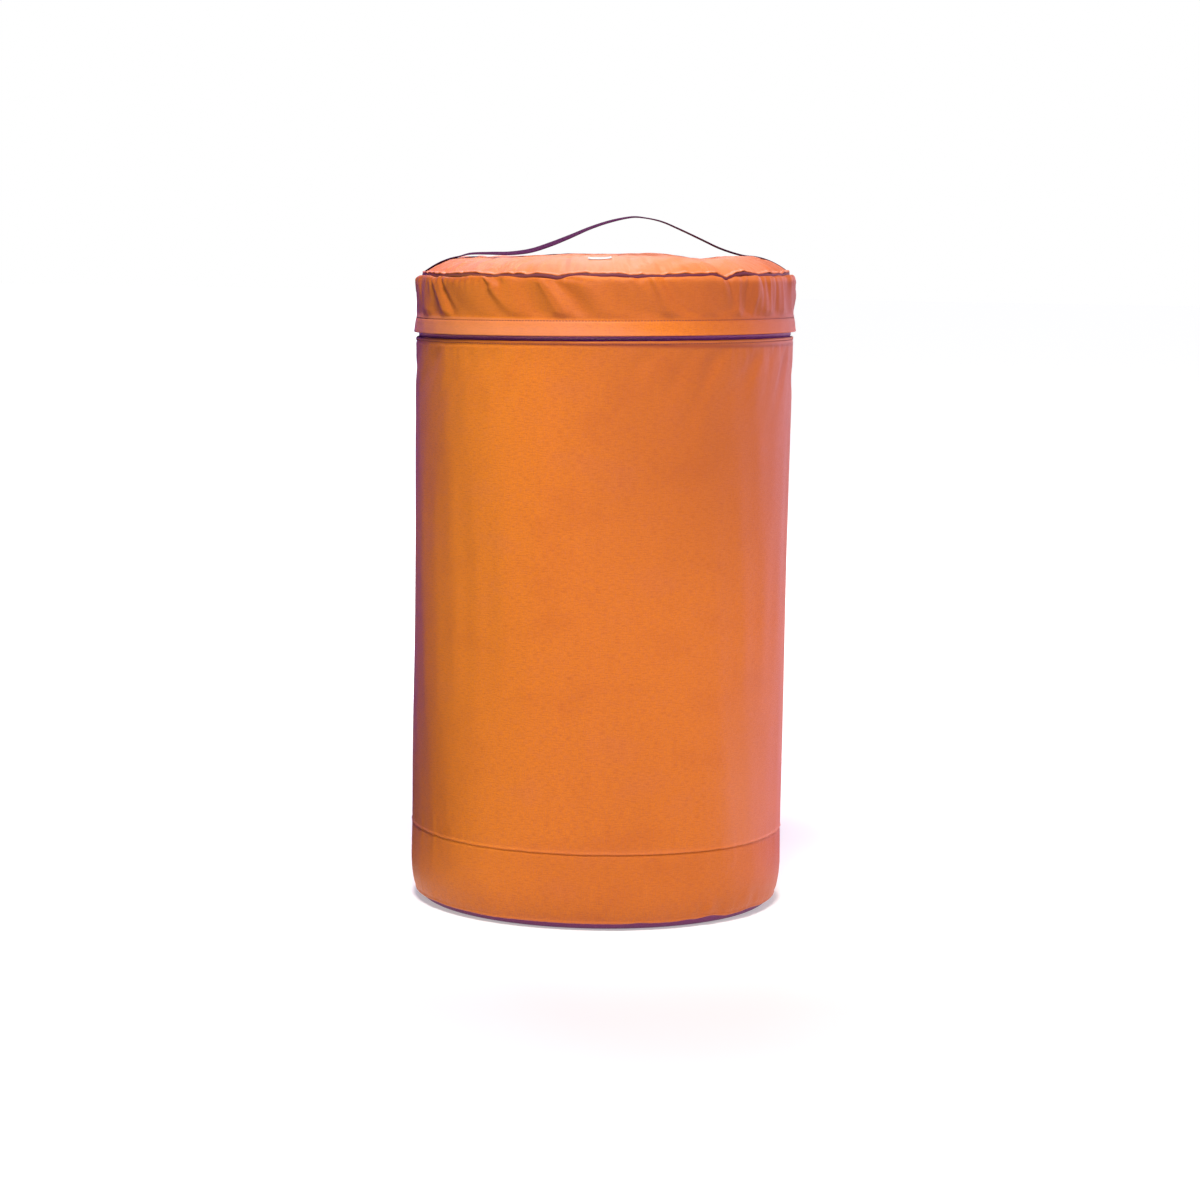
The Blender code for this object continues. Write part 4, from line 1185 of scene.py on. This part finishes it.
def make_strap(paint):
    """Webbing from rim to rim, in two lengths that meet at the peak of the loop."""
    for name, first, last, bodies, start, end, nodes in (
            ("carry_strap_left", -STRAP_REACH, LOOP_PEAK, ("lid", "handle"), -0.088, -0.050,
             ("strap_end_left", "handle_strap")),
            ("carry_strap_right", LOOP_PEAK, STRAP_REACH, ("handle", "lid"), 0.124, 0.160,
             ("strap_end_right",))):
        piece = strap_length(name, first, last)
        piece.data.materials.append(paint)
        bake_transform(piece)
        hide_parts(*nodes)


# The zip

def make_tapes(paint):
    low = ((TAPE_RADIUS, ZIP_HEIGHT - 0.0033), (TAPE_RADIUS, 0.7838), (0.2562, 0.7815), (0.2570, 0.7785),
           (0.2573, 0.7755), (0.2573, 0.7705))
    high = ((0.2589, 0.8115), (0.2587, 0.8062), (0.2580, 0.8020), (0.2570, 0.7970), (TAPE_RADIUS, 0.7925),
            (TAPE_RADIUS, ZIP_HEIGHT + 0.0033))
    for name, line, body, node in (("zip_tape_low", low, "cover", "zip_tape_lower"),
                                   ("zip_tape_high", high, "lid", "zip_tape_upper")):
        piece = cloth_ring(name, finer(line, 0.0015), 0.0007, still, 325, ZIP_FIRST, ZIP_LAST)
        dress(piece, body, paint, "plum_zip_tape", node)


def link_shape():
    """One link of a coil as four rings of eight points: wide at its head, narrow in the tape."""
    outline = ((-0.0010, 0.00052), (-0.0003, 0.00052), (0.0001, 0.00040), (0.0030, 0.00034))
    shape = []
    for out, size in ((-0.00090, 0.75), (-0.00055, 1.0), (0.00055, 1.0), (0.00090, 0.75)):
        for reach, half in outline:
            shape.append((out, -half * size, reach * (0.92 if size < 1 and reach > 0.001 else 1.0)))
        for reach, half in reversed(outline):
            shape.append((out, half * size, reach))
    return np.array(shape)


def make_teeth(paint):
    """Coil links of both rows, set half a pitch apart so that they mesh without touching."""
    count = int((ROWS_LAST - ROWS_FIRST) * CHAIN_RADIUS / LINK_PITCH)
    step = (ROWS_LAST - ROWS_FIRST) / count
    shape = link_shape()
    for name, body, node, side, shift in (("zip_row_low", "cover", "zip_row_lower", -1, 0.0),
                                          ("zip_row_high", "lid", "zip_row_upper", 1, 0.5)):
        angles = ROWS_FIRST + (np.arange(count - 1) + 0.5 + shift) * step
        radial = outward(angles)
        tangent = np.stack([-np.sin(angles), np.cos(angles), 0 * angles], -1)
        vertices, faces = copies(shape, tube_faces(4, 8), radial * CHAIN_RADIUS, radial, tangent)
        x, y = vertices[:, :, 0], vertices[:, :, 1]
        vertices[:, :, 2] = leaned(x, y, ZIP_HEIGHT + side * shape[None, :, 2])
        piece = mesh_object(name, vertices.reshape(-1, 3), faces)
        mend_normals(piece.data, weld=False)
        dress(piece, body, paint, "plum_zip_coil", node)
        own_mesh(piece)


# The foam

def make_foam(firm, soft):
    cap = ((0.0, 0.8925), (0.06, 0.8922), (0.12, 0.8912), (0.186, 0.8885), (0.215, 0.8850), (0.2325, 0.8790),
           (0.2425, 0.8700), (0.2475, 0.8600), (0.2495, 0.8450), (0.2490, 0.8432), (0.20, 0.8431),
           (0.0, 0.8431))
    column = ((0.0, 0.8423), (0.06, 0.8423), (0.1285, 0.8423), (0.1298, 0.8412), (0.1299, 0.60),
              (0.1299, 0.30), (0.1298, 0.0435), (0.1285, 0.0425), (0.06, 0.0425), (0.0, 0.0425))
    jacket = ((BORE_RADIUS, 0.45), (BORE_RADIUS, 0.8405), (0.1318, 0.8423), (0.20, 0.8424), (0.2488, 0.8424),
              (0.2497, 0.8410), (0.2512, 0.8200), (0.2520, 0.8000), (0.2520, 0.7900), (0.2522, 0.7740),
              (0.2540, 0.7640), (0.2556, 0.7560), (0.2556, 0.7400), (0.2545, 0.4500), (0.2535, 0.1200),
              (0.2530, 0.0440), (0.2515, 0.0424), (0.15, 0.0424), (0.1318, 0.0425), (BORE_RADIUS, 0.0443),
              (BORE_RADIUS, 0.45))
    base = ((0.0, 0.0415), (0.15, 0.0415), (0.2515, 0.0415), (0.2526, 0.0400), (0.2505, 0.0220),
            (0.2470, 0.0120), (0.2430, 0.0060), (0.2360, 0.0030), (0.15, 0.0022), (0.0, 0.0022))
    for name, line, paint, slot, node, sag in (
            ("foam_cap", cap, soft, "soft_foam", "core_top_pad", top_relief),
            ("foam_column", column, firm, "firm_foam", "core_column", still),
            ("foam_jacket", jacket, soft, "soft_foam", "core_jacket", still),
            ("foam_base", base, soft, "soft_foam", "core_base_pad", still)):
        piece = foam_turn(name, line, sag)
        dress(piece, "cover", paint, slot, node)


def foam_turn(name, line, sag):
    """A block of foam turned round the bag's axis, its profile running down its outer side, which
    sags with the cloth over it."""
    bored = line[0][0] > 0
    line = finer(line, 0.006)
    line[:, 0] = np.maximum(line[:, 0], BORE_RADIUS if bored else 0)
    angles = angles_round(180)
    outside = eased((line[:, :1] - 0.14) / 0.05)
    uneven = rippled(angles[None, :], line[:, 1:], CREEP) * 0.25 * outside
    sunk = np.minimum(sag(angles[None, :], line[:, :1], line[:, 1:])[1], 0)
    height = line[:, 1:] + sunk * eased((line[:, 1:] - 0.8450) / 0.02)
    radius = line[:, :1] + uneven - 0.0003 * outside
    return turned_block(name, angles, radius, height, line, closed=not bored)


def dress_small_solids(metal):
    """The zip's slider, pull and stops keep their solids, with softened edges."""
    for name in ("zip_slider", "zip_pull", "zip_top_stop_lower", "zip_top_stop_upper", "zip_bottom_stop"):
        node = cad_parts[name]
        node.data.materials.clear()
        node.data.materials.append(metal)
        soften = node.modifiers.new("soft_edges", "BEVEL")
        soften.width = 0.00015
        soften.segments = 2
        soften.limit_method = "ANGLE"


make_camera()
make_studio()
# The warm and pale colours are painted light and the deep colour is painted shade, mixed in by the values
# kept on the mesh.
ORANGE = coated_cloth("orange_cloth", base=(0.54, 0.107, 0.011), dark=(0.45, 0.075, 0.012),
                      light=(0.68, 0.176, 0.055), warm=(0.87, 0.238, 0.006), painted_light=(0.84, 0.31, 0.20),
                      painted_shade=(0.26, 0.040, 0.012), sheen=(0.95, 0.50, 0.62), scuff=0.30)
PLUM = coated_cloth("plum_cloth", base=(0.17, 0.030, 0.13), dark=(0.13, 0.022, 0.10),
                    light=(0.25, 0.06, 0.19), warm=(0.17, 0.03, 0.12), painted_light=(0.2, 0.08, 0.18),
                    painted_shade=(0.05, 0.01, 0.04), sheen=(0.7, 0.45, 0.8), scuff=0.2)
WEBBING = webbing_cloth("webbing", (0.066, 0.004, 0.050), (0.135, 0.012, 0.092))
TAPE = webbing_cloth("zip_tape_cloth", (0.16, 0.030, 0.20), (0.26, 0.06, 0.30), pitch=0.0008)
THREAD = thread_material("seam_thread", (0.17, 0.030, 0.035), (0.26, 0.050, 0.045))
# The rim binding's dark colour is painted shade in the rim's crease.
SEAM_SHADE_BINDING = thread_material("rim_seam_shade_cloth", (0.11, 0.014, 0.035), (0.18, 0.030, 0.06))
METAL = metal_material("zip_metal", (0.075, 0.05, 0.08), (0.22, 0.17, 0.22))
COIL = plastic_material("zip_coil", (0.20, 0.028, 0.17), (0.30, 0.055, 0.25), roughness=0.40)
LABEL = webbing_cloth("tab_cloth", (0.78, 0.78, 0.76), (0.92, 0.92, 0.90), pitch=0.0007)
FIRM_FOAM = foam_material("firm_foam_cut", (0.16, 0.17, 0.20), (0.10, 0.11, 0.13), cell=0.0016)
SOFT_FOAM = foam_material("soft_foam_cut", (0.74, 0.70, 0.56), (0.60, 0.53, 0.37), cell=0.0022)
make_sleeve(ORANGE, THREAD)
make_band(ORANGE)
make_base(PLUM)
make_back_seam(ORANGE, THREAD)
make_hinge_cloth(ORANGE)
make_lid_wall(ORANGE, THREAD)
make_lid_top(ORANGE)
make_rim_binding(SEAM_SHADE_BINDING)
make_label(LABEL)
make_strap(WEBBING)
make_tapes(TAPE)
make_teeth(COIL)
make_foam(FIRM_FOAM, SOFT_FOAM)
dress_small_solids(METAL)
